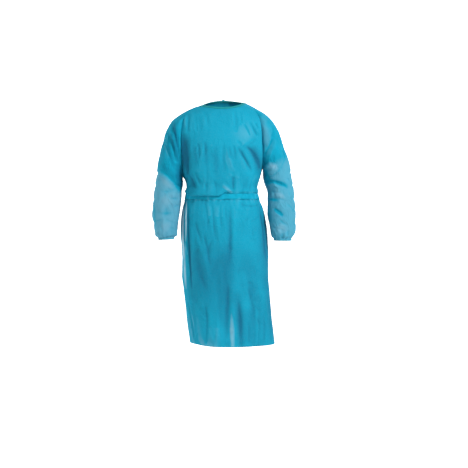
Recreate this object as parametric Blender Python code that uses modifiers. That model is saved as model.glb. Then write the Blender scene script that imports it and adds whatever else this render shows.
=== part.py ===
"""Procedure gown: thin nonwoven cloth that keeps its hollow, worn form.

X runs to the wearer's left, Y to the back and Z up, in metres. The origin lies in the
middle of the neck opening, level with the sides of the neck. The body is a stack of
rings from the neck to the hem, and every panel, the belt and the binding are read from
that one surface, so their seams follow each other.
"""

import math

import bpy
import numpy as np

# Driving dimensions
WALL = 0.001
SEAM_GAP = 0.0003
BELT_WIDTH = 0.024
CUFF_LENGTH = 0.006
TIE_WIDTH = 0.022
NECK_TIE_WIDTH = 0.010

# How far a strip's middle stands off the middle of the cloth that it lies on
STRIP_LIFT = 0.0016
OVERLAP_LIFT = 0.0008
TAIL_LIFT = 0.004

# Angles round the body, in degrees: 0 is the wearer's left side, -90 the middle of the
# front, 90 the middle of the back
OVERLAP_HALF_ANGLE = 15.0
LAP_FREE_ANGLE = 42.0
ARMHOLE_ANGLE = 30.0
ARMHOLE_ROUNDNESS = 0.8
SQUARENESS = 0.045
DEPTH_POWER = 1.6

# Fullness of the body's cloth beside the armholes: its depth, and the degrees over
# which it falls away from the armhole's edge
FULLNESS_DEPTH = 0.010
FULLNESS_SPREAD = 17.0

# How the panels part at the back lap: full to the lap's edge and a little past it
LAP_EDGE_ANGLE = OVERLAP_HALF_ANGLE + 3.0

# Numbers of cells
FRONT_CELLS = 26
BACK_SIDE_CELLS = 9
OVERLAP_CELLS = 3
ARMHOLE_CELLS = 11
SLEEVE_ROWS = 19
CUFF_CELLS = 40
CUFF_GATHERS = 13
TAIL_ROWS = 10

# Width of a tail where it leaves its knot, as a share of its full width
TAIL_PINCH = 0.4

# One row for each ring of the body, neck first. right_x and left_x are the ring's ends
# at the wearer's right and left, front_y and back_y its ends front and back, and the z
# columns give the height at each of those four places.
RING_COLUMNS = (
    "right_x", "left_x", "right_z", "left_z", "front_y", "front_z", "back_y", "back_z",
)
BODY_RINGS = np.array([
    (-0.085, 0.101, -0.018, -0.006, -0.078, -0.034, 0.078, 0.012),
    (-0.121, 0.130, -0.026, -0.017, -0.095, -0.056, 0.093, -0.012),
    (-0.158, 0.165, -0.044, -0.035, -0.109, -0.091, 0.104, -0.050),
    (-0.189, 0.194, -0.074, -0.068, -0.121, -0.138, 0.113, -0.102),
    (-0.200, 0.204, -0.125, -0.121, -0.131, -0.190, 0.119, -0.163),
    (-0.197, 0.201, -0.205, -0.202, -0.138, -0.247, 0.123, -0.230),
    (-0.179, 0.188, -0.338, -0.304, -0.141, -0.316, 0.124, -0.312),
    (-0.167, 0.176, -0.361, -0.352, -0.139, -0.360, 0.121, -0.358),
    (-0.159, 0.166, -0.395, -0.395, -0.133, -0.395, 0.116, -0.395),
    (-0.163, 0.167, -0.421, -0.421, -0.128, -0.421, 0.112, -0.421),
    (-0.168, 0.174, -0.447, -0.447, -0.128, -0.447, 0.114, -0.447),
    (-0.177, 0.188, -0.477, -0.477, -0.134, -0.477, 0.122, -0.477),
    (-0.183, 0.200, -0.540, -0.540, -0.143, -0.540, 0.136, -0.540),
    (-0.184, 0.210, -0.610, -0.610, -0.150, -0.610, 0.146, -0.610),
    (-0.181, 0.215, -0.700, -0.700, -0.155, -0.700, 0.152, -0.700),
    (-0.180, 0.214, -0.790, -0.790, -0.157, -0.790, 0.155, -0.790),
    (-0.169, 0.220, -0.890, -0.890, -0.159, -0.890, 0.158, -0.890),
    (-0.156, 0.231, -1.000, -1.000, -0.162, -1.000, 0.162, -1.000),
    (-0.143, 0.243, -1.097, -1.106, -0.166, -1.103, 0.166, -1.101),
])

# Rings, by their row in BODY_RINGS, where something starts or ends
BINDING_END = 0.42
ARMHOLE_TOP = 1.0
ARMPIT = 6.0
POUCH_TOP = 8.0
BELT_TOP = 9.0
BELT_BOTTOM = 10.0
HEM = 18.0

# Rings between which the folds, gathers, pouch and waves rise and fade
FOLDS_FULL = 1.2
FOLDS_FADE = 7.6
FOLDS_AGAIN = 10.8
GATHERS_FULL = 7.0
POUCH_START = 7.3
POUCH_SMOOTH = 7.5
WAVES_START = 11.0
WAIST_ROWS = (6.6, 7.3)
SKIRT_ROWS = (10.5, 11.0, 11.5, 12.0, 12.6, 13.2, 13.8, 14.4, 15.0, 15.7, 16.4, 17.2)

# Cross sections of each sleeve, shoulder first: the outer and inner points of the ring
# seen from the front, the middle of its depth and half of its depth
SLEEVE_COLUMNS = ("outer_x", "outer_z", "inner_x", "inner_z", "mid_y", "half_y")
SLEEVE_RINGS = {
    "left": np.array([
        (0.130, -0.017, 0.1880, -0.304, 0.000, 0.062),
        (0.170, -0.038, 0.1890, -0.309, 0.000, 0.073),
        (0.210, -0.067, 0.1895, -0.315, 0.000, 0.076),
        (0.242, -0.102, 0.1900, -0.321, 0.000, 0.077),
        (0.266, -0.148, 0.1905, -0.328, -0.001, 0.077),
        (0.288, -0.212, 0.1905, -0.338, -0.003, 0.075),
        (0.306, -0.270, 0.1915, -0.352, -0.006, 0.072),
        (0.320, -0.330, 0.1990, -0.378, -0.010, 0.067),
        (0.329, -0.400, 0.2105, -0.413, -0.015, 0.064),
        (0.335, -0.460, 0.2115, -0.462, -0.022, 0.063),
        (0.338, -0.510, 0.2105, -0.510, -0.032, 0.062),
        (0.338, -0.560, 0.2180, -0.559, -0.043, 0.060),
        (0.336, -0.594, 0.2235, -0.593, -0.050, 0.058),
        (0.3285, -0.614, 0.2290, -0.613, -0.054, 0.050),
        (0.319, -0.6245, 0.2365, -0.6235, -0.057, 0.0405),
        (0.3185, -0.628, 0.2370, -0.627, -0.058, 0.040),
    ]),
    "right": np.array([
        (-0.121, -0.026, -0.1790, -0.338, 0.000, 0.062),
        (-0.158, -0.045, -0.1795, -0.341, 0.000, 0.073),
        (-0.195, -0.066, -0.1795, -0.345, 0.000, 0.076),
        (-0.225, -0.091, -0.1790, -0.349, 0.000, 0.077),
        (-0.252, -0.138, -0.1785, -0.354, -0.001, 0.077),
        (-0.271, -0.200, -0.1775, -0.360, -0.003, 0.075),
        (-0.285, -0.258, -0.1760, -0.368, -0.006, 0.073),
        (-0.296, -0.322, -0.1760, -0.382, -0.010, 0.068),
        (-0.304, -0.388, -0.1800, -0.408, -0.015, 0.065),
        (-0.310, -0.448, -0.1840, -0.452, -0.022, 0.063),
        (-0.315, -0.510, -0.1910, -0.508, -0.032, 0.062),
        (-0.3085, -0.555, -0.1970, -0.552, -0.042, 0.059),
        (-0.303, -0.592, -0.2000, -0.588, -0.049, 0.056),
        (-0.2985, -0.612, -0.2010, -0.608, -0.053, 0.049),
        (-0.287, -0.6215, -0.2125, -0.6175, -0.055, 0.0385),
        (-0.2865, -0.6245, -0.2130, -0.6205, -0.056, 0.038),
    ]),
}
SLEEVE_SIGN = {"left": 1.0, "right": -1.0}

# Rows of the sleeve table at which its seam has let go of the armhole, its folds are
# full, and its folds end before the cuff
SLEEVE_FREE = 5.0
SLEEVE_FOLDS_FULL = 1.6
SLEEVE_FOLDS_FADE = 12.6
SLEEVE_FOLDS_END = 14.0

# A cuff narrows to its end, and its gathers grow: shares of its radius
CUFF_NARROWING = 0.05
CUFF_GATHER = 0.014
CUFF_GATHER_GROWTH = 0.012

# Knots: width, depth and height. Tails: where each leaves its knot and how far round the
# back it drifts, both in degrees
WAIST_KNOT = (0.034, 0.014, 0.026)
NECK_KNOT = (0.018, 0.010, 0.012)
TAILS = (("_tail_right", 92.3, 7.0), ("_tail_left", 87.7, -5.0))
WAIST_TAIL_RINGS = 3.6
NECK_TAIL_RINGS = 2.6

# The largest folds, each a bent stroke through three places seen from the front or the
# back. A height above zero is a ridge, below zero a trough.
# Columns: x0, z0, x1, z1, x2, z2, height, half_width
FRONT_FOLDS = np.array([
    (0.103, -0.207, 0.145, -0.244, 0.177, -0.317, -0.012, 0.014),
    (0.071, -0.216, 0.103, -0.262, 0.140, -0.331, -0.0075, 0.013),
    (0.125, -0.101, 0.147, -0.138, 0.158, -0.180, -0.006, 0.014),
    (0.062, -0.060, 0.067, -0.097, 0.067, -0.152, -0.0045, 0.013),
    (-0.163, -0.170, -0.163, -0.271, -0.154, -0.373, -0.0105, 0.018),
    (-0.136, -0.225, -0.148, -0.290, -0.150, -0.359, -0.006, 0.013),
    (-0.102, -0.198, -0.099, -0.235, -0.099, -0.290, -0.006, 0.014),
    (0.030, -0.207, 0.035, -0.262, 0.057, -0.327, 0.006, 0.014),
    (-0.145, -0.060, -0.150, -0.090, -0.150, -0.133, 0.006, 0.014),
    (-0.159, -0.480, -0.159, -0.630, -0.145, -0.860, -0.015, 0.013),
    (-0.131, -0.600, -0.103, -0.731, -0.067, -0.869, -0.012, 0.017),
    (0.039, -0.475, 0.041, -0.584, 0.039, -0.731, -0.009, 0.014),
    (0.048, -0.906, 0.053, -1.021, 0.048, -1.135, 0.0105, 0.014),
    (0.076, -0.888, 0.085, -0.989, 0.090, -1.135, -0.015, 0.015),
    (0.035, -0.814, 0.028, -0.929, 0.020, -1.090, -0.009, 0.014),
    (-0.039, -0.475, -0.035, -0.529, -0.025, -0.640, -0.006, 0.013),
    (0.186, -0.515, 0.192, -0.593, 0.188, -0.731, -0.009, 0.016),
    (0.154, -0.906, 0.163, -0.998, 0.159, -1.135, 0.0075, 0.014),
    (0.190, -0.890, 0.199, -1.021, 0.194, -1.135, -0.009, 0.015),
    (-0.117, -0.906, -0.099, -1.021, -0.085, -1.135, 0.0075, 0.015),
    (-0.071, -0.880, -0.062, -0.998, -0.067, -1.125, -0.0075, 0.014),
    (-0.140, -0.906, -0.127, -1.007, -0.113, -1.130, -0.009, 0.014),
])
BACK_FOLDS = np.array([
    (-0.120, -0.130, -0.150, -0.200, -0.165, -0.300, -0.0084, 0.016),
    (0.118, -0.120, 0.150, -0.190, 0.168, -0.300, -0.0098, 0.016),
    (-0.070, -0.190, -0.100, -0.260, -0.130, -0.340, -0.0056, 0.015),
    (0.060, -0.200, 0.092, -0.270, 0.128, -0.335, -0.007, 0.015),
    (-0.110, -0.480, -0.115, -0.600, -0.105, -0.760, -0.0126, 0.017),
    (0.115, -0.475, 0.122, -0.610, 0.118, -0.790, -0.0112, 0.016),
    (-0.060, -0.500, -0.064, -0.640, -0.050, -0.850, 0.0084, 0.015),
    (0.066, -0.490, 0.075, -0.620, 0.070, -0.800, -0.007, 0.014),
    (0.160, -0.500, 0.175, -0.650, 0.172, -0.860, 0.0084, 0.016),
    (-0.090, -0.860, -0.080, -0.990, -0.075, -1.135, -0.0126, 0.016),
    (-0.120, -0.840, -0.112, -0.980, -0.108, -1.130, 0.0084, 0.015),
    (0.110, -0.850, 0.125, -0.990, 0.132, -1.135, -0.014, 0.017),
    (0.175, -0.880, 0.185, -1.000, 0.190, -1.135, 0.0098, 0.016),
])
SLEEVE_FOLDS = {
    "left": np.array([
        (0.237, -0.110, 0.228, -0.175, 0.190, -0.262, -0.0098, 0.013),
        (0.269, -0.200, 0.287, -0.262, 0.235, -0.330, -0.0084, 0.012),
        (0.205, -0.365, 0.260, -0.373, 0.312, -0.396, -0.0098, 0.012),
        (0.190, -0.285, 0.214, -0.305, 0.255, -0.296, 0.0084, 0.013),
        (0.223, -0.451, 0.260, -0.446, 0.300, -0.455, -0.007, 0.012),
        (0.232, -0.486, 0.260, -0.506, 0.290, -0.520, -0.0098, 0.013),
    ]),
    "right": np.array([
        (-0.228, -0.095, -0.209, -0.161, -0.184, -0.281, -0.0084, 0.012),
        (-0.248, -0.138, -0.226, -0.202, -0.205, -0.285, -0.0084, 0.012),
        (-0.262, -0.189, -0.248, -0.225, -0.230, -0.270, -0.0056, 0.012),
        (-0.262, -0.330, -0.214, -0.362, -0.180, -0.400, -0.0084, 0.013),
        (-0.306, -0.373, -0.274, -0.345, -0.237, -0.360, 0.007, 0.014),
        (-0.290, -0.506, -0.255, -0.512, -0.215, -0.500, -0.007, 0.012),
    ]),
}
FOLD_STEPS = 8

# The pouch of cloth that hangs over the belt: share of the way from its top to the belt,
# how far it stands out and how far it drops
POUCH = np.array([
    (0.00, 0.0040, 0.0000),
    (0.30, 0.0130, 0.0060),
    (0.55, 0.0160, 0.0180),
    (0.75, 0.0100, 0.0190),
    (0.90, 0.0034, 0.0010),
    (1.00, 0.0000, 0.0000),
])
# How full the pouch is at each angle round the body
POUCH_FULLNESS = np.array([
    (-180.0, 0.45), (-160.0, 0.60), (-130.0, 1.00), (-97.0, 1.00), (-74.0, 0.25),
    (0.0, 0.30), (60.0, 0.45), (120.0, 0.45), (180.0, 0.45),
])

# Gathers at the belt and waves of the skirt: count round the body, depth, phase
WAIST_GATHERS = 13
GATHER_DEPTH = 0.0035
GATHER_REACH = 0.045
SKIRT_WAVES = ((3, 0.0045, 0.6), (5, 0.0040, 2.1), (8, 0.0030, 4.0))
SLEEVE_ROOM = 0.0004
ARMPIT_ROOM = 0.0014

COLOURS = {
    "cloth": (0.030, 0.345, 0.560),
    "sleeve": (0.045, 0.365, 0.575),
    "binding": (0.040, 0.300, 0.360),
    "belt": (0.035, 0.380, 0.610),
    "cuff": (0.050, 0.360, 0.540),
}


def smooth_rows(keys, rows, at):
    """Read a table between its rows on a smooth curve that never overshoots them."""
    keys = np.asarray(keys, dtype=float)
    rows = np.asarray(rows, dtype=float)
    step = np.diff(keys)
    slope = np.diff(rows, axis=0) / step[:, None]
    tangent = np.zeros_like(rows)
    tangent[0] = slope[0]
    tangent[-1] = slope[-1]
    same_way = slope[:-1] * slope[1:] > 0
    total = np.where(same_way, slope[:-1] + slope[1:], 1.0)
    tangent[1:-1] = np.where(same_way, 2 * slope[:-1] * slope[1:] / total, 0.0)
    at = np.asarray(at, dtype=float)
    cell = np.clip(np.searchsorted(keys, at, side="right") - 1, 0, len(keys) - 2)
    share = ((at - keys[cell]) / step[cell])[..., None]
    width = step[cell][..., None]
    start = (1 + 2 * share) * (1 - share) ** 2
    end = share ** 2 * (3 - 2 * share)
    lead = share * (1 - share) ** 2 * width
    trail = share ** 2 * (share - 1) * width
    return (start * rows[cell] + end * rows[cell + 1]
            + lead * tangent[cell] + trail * tangent[cell + 1])


def read_columns(names, table, at):
    """Columns of a table by name, read at places counted in its rows."""
    row = smooth_rows(np.arange(len(table)), table, at)
    return dict(zip(names, np.moveaxis(row, -1, 0)))


def ease(value, low, high):
    """Rise smoothly from 0 at low to 1 at high."""
    share = np.clip((value - low) / (high - low), 0.0, 1.0)
    return share * share * (3 - 2 * share)


def body_points(angle, ring):
    """Points of the plain body at angles in degrees and rings of the table."""
    at = read_columns(RING_COLUMNS, BODY_RINGS, ring)
    turn = np.radians(angle)
    across = np.cos(turn)
    along = np.sin(turn)
    swell = 1 + SQUARENESS * np.sin(2 * turn) ** 2
    half_x = (at["left_x"] - at["right_x"]) / 2
    x = (at["left_x"] + at["right_x"]) / 2 + half_x * across * swell
    y = np.where(along < 0, -at["front_y"], at["back_y"]) * along * swell
    side_z = (at["left_z"] + at["right_z"]) / 2 + (at["left_z"] - at["right_z"]) / 2 * across
    depth = np.abs(along) ** DEPTH_POWER
    end_z = np.where(along < 0, at["front_z"], at["back_z"])
    return np.stack([x, y, side_z + (end_z - side_z) * depth], axis=-1)


def unit(vectors):
    return vectors / np.maximum(np.linalg.norm(vectors, axis=-1, keepdims=True), 1e-9)


def body_normals(angle, ring):
    """Outward directions of the plain body, from its slopes both ways."""
    angle_step = 0.5
    ring_step = 0.02
    upper = np.clip(ring - ring_step, 0, HEM)
    lower = np.clip(ring + ring_step, 0, HEM)
    down = body_points(angle, lower) - body_points(angle, upper)
    round_body = body_points(angle + angle_step, ring) - body_points(angle - angle_step, ring)
    return unit(np.cross(down, round_body))


def fold_heights(x, z, folds):
    """Sum of the folds at places seen from the front or back: each is a rounded stroke
    that fades at its ends."""
    total = np.zeros_like(x)
    for x0, z0, x1, z1, x2, z2, height, half_width in folds:
        share = np.linspace(0, 1, FOLD_STEPS + 1)
        bend_x = 2 * x1 - (x0 + x2) / 2
        bend_z = 2 * z1 - (z0 + z2) / 2
        line_x = (1 - share) ** 2 * x0 + 2 * share * (1 - share) * bend_x + share ** 2 * x2
        line_z = (1 - share) ** 2 * z0 + 2 * share * (1 - share) * bend_z + share ** 2 * z2
        nearest = np.full_like(x, 1.0)
        along = np.zeros_like(x)
        for step in range(FOLD_STEPS):
            run_x = line_x[step + 1] - line_x[step]
            run_z = line_z[step + 1] - line_z[step]
            away_x = x - line_x[step]
            away_z = z - line_z[step]
            part = np.clip((away_x * run_x + away_z * run_z) / (run_x ** 2 + run_z ** 2), 0, 1)
            distance = np.hypot(away_x - part * run_x, away_z - part * run_z)
            closer = distance < nearest
            nearest = np.where(closer, distance, nearest)
            along = np.where(closer, (step + part) / FOLD_STEPS, along)
        fade = np.sin(np.pi * np.clip(along, 0, 1)) ** 0.7
        total += height * fade * np.exp(-(nearest / half_width) ** 2)
    return total


def armhole_fullness(angle, ring):
    """How far the cloth beside an armhole stands forwards or backwards of the plain body:
    a bell over the angle from the armhole's edge times a sine over its height."""
    away = np.degrees(np.arccos(np.clip(np.abs(np.cos(np.radians(angle))), 0, 1)))
    away = np.maximum(away - edge_angles(ring), 0)
    share = np.clip((ring - ARMHOLE_TOP) / (ARMPIT - ARMHOLE_TOP), 0, 1)
    bell = np.exp(-(away / FULLNESS_SPREAD) ** 2) * np.sin(np.pi * share)
    return FULLNESS_DEPTH * bell * np.sign(np.sin(np.radians(angle)))


def pouch_fullness(angle):
    wrapped = (angle + 180) % 360 - 180
    return smooth_rows(POUCH_FULLNESS[:, 0], POUCH_FULLNESS[:, 1:], wrapped)[..., 0]


def body_relief(points, angle, ring):
    """Height of the folds, the waist gathers and the skirt waves over the plain body."""
    x, _, z = np.moveaxis(points, -1, 0)
    turn = np.radians(angle)
    facing = np.sin(turn)
    strokes = (fold_heights(x, z, FRONT_FOLDS) * ease(-facing, 0.05, 0.4)
               + fold_heights(x, z, BACK_FOLDS) * ease(facing, 0.05, 0.4))
    near_belt = ease(ring, FOLDS_FADE, BELT_TOP) * (1 - ease(ring, BELT_BOTTOM, FOLDS_AGAIN))
    strokes *= ease(ring, BINDING_END, FOLDS_FULL) * (1 - near_belt)
    belt_z = (BODY_RINGS[int(BELT_TOP), 5] + BODY_RINGS[int(BELT_BOTTOM), 5]) / 2
    from_belt = np.maximum(np.abs(z - belt_z) - BELT_WIDTH / 2, 0)
    uneven = turn * WAIST_GATHERS + 1.1 * np.sin(3 * turn + 0.7) + 0.6 * np.sin(5 * turn)
    gathers = -GATHER_DEPTH * (0.5 + 0.5 * np.cos(uneven)) * np.exp(-from_belt / GATHER_REACH)
    in_pouch = pouch_fullness(angle) * ease(ring, POUCH_SMOOTH, POUCH_TOP) * (ring < BELT_TOP)
    gathers *= ease(ring, ARMPIT, GATHERS_FULL) * (1 - in_pouch)
    waves = sum(depth * np.cos(count * turn + phase) for count, depth, phase in SKIRT_WAVES)
    return strokes + gathers + waves * ease(ring, WAVES_START, HEM)


def cloth(angle, ring, lift=0.0):
    """Points of the finished body surface, moved out by lift."""
    angle, ring = np.broadcast_arrays(np.asarray(angle, float), np.asarray(ring, float))
    base = body_points(angle, ring)
    out = body_normals(angle, ring)
    points = base + out * (body_relief(base, angle, ring) + lift)[..., None]
    share = np.clip((ring - POUCH_TOP) / (BELT_TOP - POUCH_TOP), 0, 1)
    pouch = smooth_rows(POUCH[:, 0], POUCH[:, 1:], share)
    rise = ease(ring, POUCH_START, POUCH_TOP)
    inside = np.where(ring < POUCH_TOP, rise, 1.0) * (ring < BELT_TOP)
    full = pouch_fullness(angle)
    flat = unit(out * np.array([1, 1, 0]))
    points = points + flat * (pouch[..., 0] * full * inside)[..., None]
    points[..., 2] -= pouch[..., 1] * ease(full, 0.5, 1.0) * inside
    points[..., 1] += armhole_fullness(angle, ring)
    return points


def taut(angle, ring, lift):
    """Points over the plain body, for what is pulled tight round it."""
    angle, ring = np.broadcast_arrays(np.asarray(angle, float), np.asarray(ring, float))
    return body_points(angle, ring) + body_normals(angle, ring) * np.asarray(lift)[..., None]


def armhole_steps():
    return np.linspace(0, math.pi, ARMHOLE_CELLS + 1)


def ring_rows():
    """Rings at which the panels have a row of points, from the neck to the hem."""
    neck = [0.0, BINDING_END]
    arm = ARMHOLE_TOP + (ARMPIT - ARMHOLE_TOP) * (1 - np.cos(armhole_steps())) / 2
    pouch = POUCH_TOP + POUCH[:, 0] * (BELT_TOP - POUCH_TOP)
    return np.array([*neck, *arm, *WAIST_ROWS, *pouch, BELT_BOTTOM, *SKIRT_ROWS, HEM])


def edge_angles(rows):
    """Angle between each panel's side edge and the side seam: 0 but in the armhole."""
    share = np.clip((rows - ARMHOLE_TOP) / (ARMPIT - ARMHOLE_TOP), 0, 1)
    step = np.arccos(1 - 2 * share)
    return ARMHOLE_ANGLE * np.abs(np.sin(step)) ** ARMHOLE_ROUNDNESS


def front_angles(rows):
    edge = edge_angles(rows)[:, None]
    across = np.linspace(0, 1, FRONT_CELLS + 1)[None, :]
    return (-180 + edge) + (180 - 2 * edge) * across


def back_angles(rows):
    """Angles of the wearer's left back panel, from its side seam past the middle."""
    edge = edge_angles(rows)[:, None]
    start = 90 - OVERLAP_HALF_ANGLE
    side = np.linspace(0, 1, BACK_SIDE_CELLS + 1)[None, :]
    over = np.linspace(0, 1, OVERLAP_CELLS + 1)[None, 1:]
    plain = edge + (start - edge) * side
    lap = start + 2 * OVERLAP_HALF_ANGLE * over + 0 * edge
    return np.concatenate([plain, lap], axis=1)


def lap_lift(angle):
    """How far the lapping backs part from the body surface, most at the middle."""
    away = np.abs(np.asarray(angle) - 90)
    return OVERLAP_LIFT * (1 - ease(away, LAP_EDGE_ANGLE, LAP_FREE_ANGLE))


def pull_in(points, line, inward, distance):
    """Move one edge line of a grid of points towards the next line by a distance."""
    moved = points.copy()
    direction = unit(np.take(points, inward, axis=1) - np.take(points, line, axis=1))
    moved[:, line] = points[:, line] + direction * distance
    return moved


def front_grid():
    rows = ring_rows()
    points = cloth(front_angles(rows), rows[:, None])
    points = pull_in(points, 0, 1, SEAM_GAP / 2)
    return pull_in(points, -1, -2, SEAM_GAP / 2)


def back_grid(side):
    rows = ring_rows()
    angles = back_angles(rows)
    if side == "left":
        points = cloth(angles, rows[:, None], lap_lift(angles))
        return pull_in(points, 0, 1, SEAM_GAP / 2)
    points = cloth(180 - angles, rows[:, None], -lap_lift(180 - angles))
    return pull_in(points, 0, 1, SEAM_GAP / 2)[:, ::-1]


def armhole_ring(side):
    """Closed ring of points round an armhole: shoulder, front, armpit, back."""
    steps = armhole_steps()
    rows = ARMHOLE_TOP + (ARMPIT - ARMHOLE_TOP) * (1 - np.cos(steps)) / 2
    edge = edge_angles(rows)
    front = -edge if side == "left" else -180 + edge
    back = edge if side == "left" else 180 - edge
    ring = np.concatenate([cloth(front, rows), cloth(back, rows)[-2:0:-1]])
    low = np.concatenate([steps, steps[-2:0:-1]])
    room = SLEEVE_ROOM + ARMPIT_ROOM * (1 - np.cos(low)) / 2
    ring[:, 0] += SLEEVE_SIGN[side] * room
    return ring


def sleeve_axes(side, station):
    """Middle of the sleeve's rings, and their half axes outwards and forwards."""
    at = read_columns(SLEEVE_COLUMNS, SLEEVE_RINGS[side], station)
    outer = np.stack([at["outer_x"], at["mid_y"], at["outer_z"]], axis=-1)
    inner = np.stack([at["inner_x"], at["mid_y"], at["inner_z"]], axis=-1)
    forward = at["half_y"][..., None] * np.array([0.0, -1.0, 0.0])
    return (outer + inner) / 2, (outer - inner) / 2, forward


def sleeve_grid(side):
    """Sleeve: rings of the table, with the first bent onto the armhole."""
    cells = 2 * ARMHOLE_CELLS
    turn = 2 * math.pi * np.arange(cells) / cells
    station = np.linspace(0, len(SLEEVE_RINGS[side]) - 1, SLEEVE_ROWS)
    middle, across, forward = sleeve_axes(side, station)
    plain = (middle[:, None] + across[:, None] * np.cos(turn)[None, :, None]
             + forward[:, None] * np.sin(turn)[None, :, None])
    onto_body = armhole_ring(side) - plain[0]
    hold = (1 - ease(station, 0.0, SLEEVE_FREE))[:, None, None]
    points = plain + onto_body * hold
    down = np.gradient(points, axis=0)
    round_arm = np.roll(points, -1, axis=1) - np.roll(points, 1, axis=1)
    out = unit(np.cross(down, round_arm)) * -SLEEVE_SIGN[side]
    facing = np.sin(turn)[None, :]
    heights = fold_heights(points[..., 0], points[..., 2], SLEEVE_FOLDS[side])
    from_back = fold_heights(points[..., 0], points[..., 2] - 0.02, SLEEVE_FOLDS[side])
    heights = heights * ease(facing, -0.1, 0.5) + from_back * ease(-facing, -0.1, 0.5)
    free = (ease(station, 0.0, SLEEVE_FOLDS_FULL)
            * (1 - ease(station, SLEEVE_FOLDS_FADE, SLEEVE_FOLDS_END)))
    points = points + out * (heights * free[:, None])[..., None]
    return points if side == "right" else points[:, ::-1]


def cuff_grid(side):
    """Gathered elastic hem below a sleeve's end: a wavy ring, a little narrower."""
    last = len(SLEEVE_RINGS[side]) - 1
    middles, across, forward = sleeve_axes(side, np.array([last - 1, last]))
    down = unit(middles[1] - middles[0])
    turn = 2 * math.pi * np.arange(CUFF_CELLS) / CUFF_CELLS
    rows = np.array([0.0, 0.5, 1.0])[:, None]
    gather = CUFF_GATHER + CUFF_GATHER_GROWTH * rows
    wave = 1 - CUFF_NARROWING * rows + gather * np.cos(CUFF_GATHERS * turn)
    ring = across[1] * np.cos(turn)[:, None] + forward[1] * np.sin(turn)[:, None]
    start = middles[1] + down * (2 * SEAM_GAP)
    points = start + ring[None] * wave[..., None] + down * (rows * CUFF_LENGTH)[..., None]
    return points if side == "right" else points[:, ::-1]


def strip_angles():
    """Angles round the body at which the belt and the binding have points."""
    plain = np.array([BELT_TOP])
    front = front_angles(plain)[0]
    back = back_angles(plain)[0]
    mirror = 180 - back[:BACK_SIDE_CELLS][::-1]
    return np.concatenate([front, back[1:], mirror[:-1]])


def strip_grid(rings):
    """Closed strip that lies on the body, made from the panels' points moved out."""
    angles = strip_angles()[None, :]
    rings = np.array(rings)[:, None]
    return taut(angles, rings, STRIP_LIFT + lap_lift(angles))


def tail_grid(middle_angle, drift, rings, width, near_lift, far_lift):
    """Hanging tail of a tie: a narrow strip over the back, a little way off the cloth."""
    share = np.linspace(0, 1, len(rings))
    centre = middle_angle + drift * share
    lift = near_lift + (far_lift - near_lift) * ease(share, 0.0, 0.3)
    spine = cloth(centre, rings, lift)
    across = unit(cloth(centre + 2, rings, lift) - cloth(centre - 2, rings, lift))
    sides = np.array([-0.5, 0.0, 0.5])[None, :, None]
    spread = (TAIL_PINCH + (1 - TAIL_PINCH) * ease(share, 0.0, 0.3))[:, None, None]
    return spine[:, None] + across[:, None] * sides * width * spread


def material(name, colour):
    """Principled material of one piece."""
    made = bpy.data.materials.new(name)
    made.use_nodes = True
    shader = made.node_tree.nodes["Principled BSDF"]
    shader.inputs["Base Color"].default_value = (*colour, 1.0)
    shader.inputs["Roughness"].default_value = 0.62
    shader.inputs["Metallic"].default_value = 0.0
    return made


def cloth_piece(name, grid, colour, collection, closed=False):
    """Object from a grid of points on the middle of its wall, with Solidify both ways."""
    rows, columns = grid.shape[:2]
    index = np.arange(rows * columns).reshape(rows, columns)
    if closed:
        index = np.concatenate([index, index[:, :1]], axis=1)
    faces = np.stack([index[:-1, :-1], index[1:, :-1], index[1:, 1:], index[:-1, 1:]], axis=-1)
    mesh = bpy.data.meshes.new(name)
    mesh.from_pydata(grid.reshape(-1, 3).tolist(), [], faces.reshape(-1, 4).tolist())
    mesh.shade_smooth()
    piece = bpy.data.objects.new(name, mesh)
    piece.data.materials.append(material(name, colour))
    wall = piece.modifiers.new("wall", "SOLIDIFY")
    wall.thickness = WALL
    wall.offset = 0.0
    collection.objects.link(piece)
    return piece


def knot(name, centre, size, colour, collection):
    """Rounded knot of a tie, flattened against the back."""
    bpy.ops.mesh.primitive_uv_sphere_add(segments=14, ring_count=8, radius=0.5, location=centre)
    piece = bpy.context.object
    piece.name = name
    for vertex in piece.data.vertices:
        vertex.co.x *= size[0]
        vertex.co.y *= size[1]
        vertex.co.z *= size[2]
    piece.data.shade_smooth()
    piece.data.materials.append(material(name, colour))
    for owner in list(piece.users_collection):
        owner.objects.unlink(piece)
    collection.objects.link(piece)
    return piece


def tie(name, ring, size, tail_span, tail_width, colour, collection):
    """Knot on a strip at the middle of the back, with its two hanging tails."""
    face = taut(90.0, ring, STRIP_LIFT + OVERLAP_LIFT + WALL / 2 + SEAM_GAP)
    out = body_normals(np.array(90.0), np.array(ring))
    centre = face + out * np.linalg.norm(out * np.array(size) / 2)
    knot(name + "_knot", centre, size, colour, collection)
    start = np.interp(size[2] / 2 - centre[2], -BODY_RINGS[:, 7], np.arange(len(BODY_RINGS)))
    rings = start + tail_span * np.linspace(0, 1, TAIL_ROWS)
    near_lift = max(float(centre[1] - taut(90.0, start, 0.0)[1]), TAIL_LIFT)
    for label, angle, drift in TAILS:
        grid = tail_grid(angle, drift, rings, tail_width, near_lift, TAIL_LIFT)
        from_middle = (grid[0, :, 0] - centre[0]) / (size[0] / 2)
        grid[0, :, 1] = centre[1]
        grid[0, :, 2] = centre[2] - size[2] / 2 * np.sqrt(1 - from_middle ** 2) - 2 * SEAM_GAP
        cloth_piece(name + label, grid, colour, collection)


def clear_scene():
    for item in list(bpy.data.objects):
        bpy.data.objects.remove(item, do_unlink=True)


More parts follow.
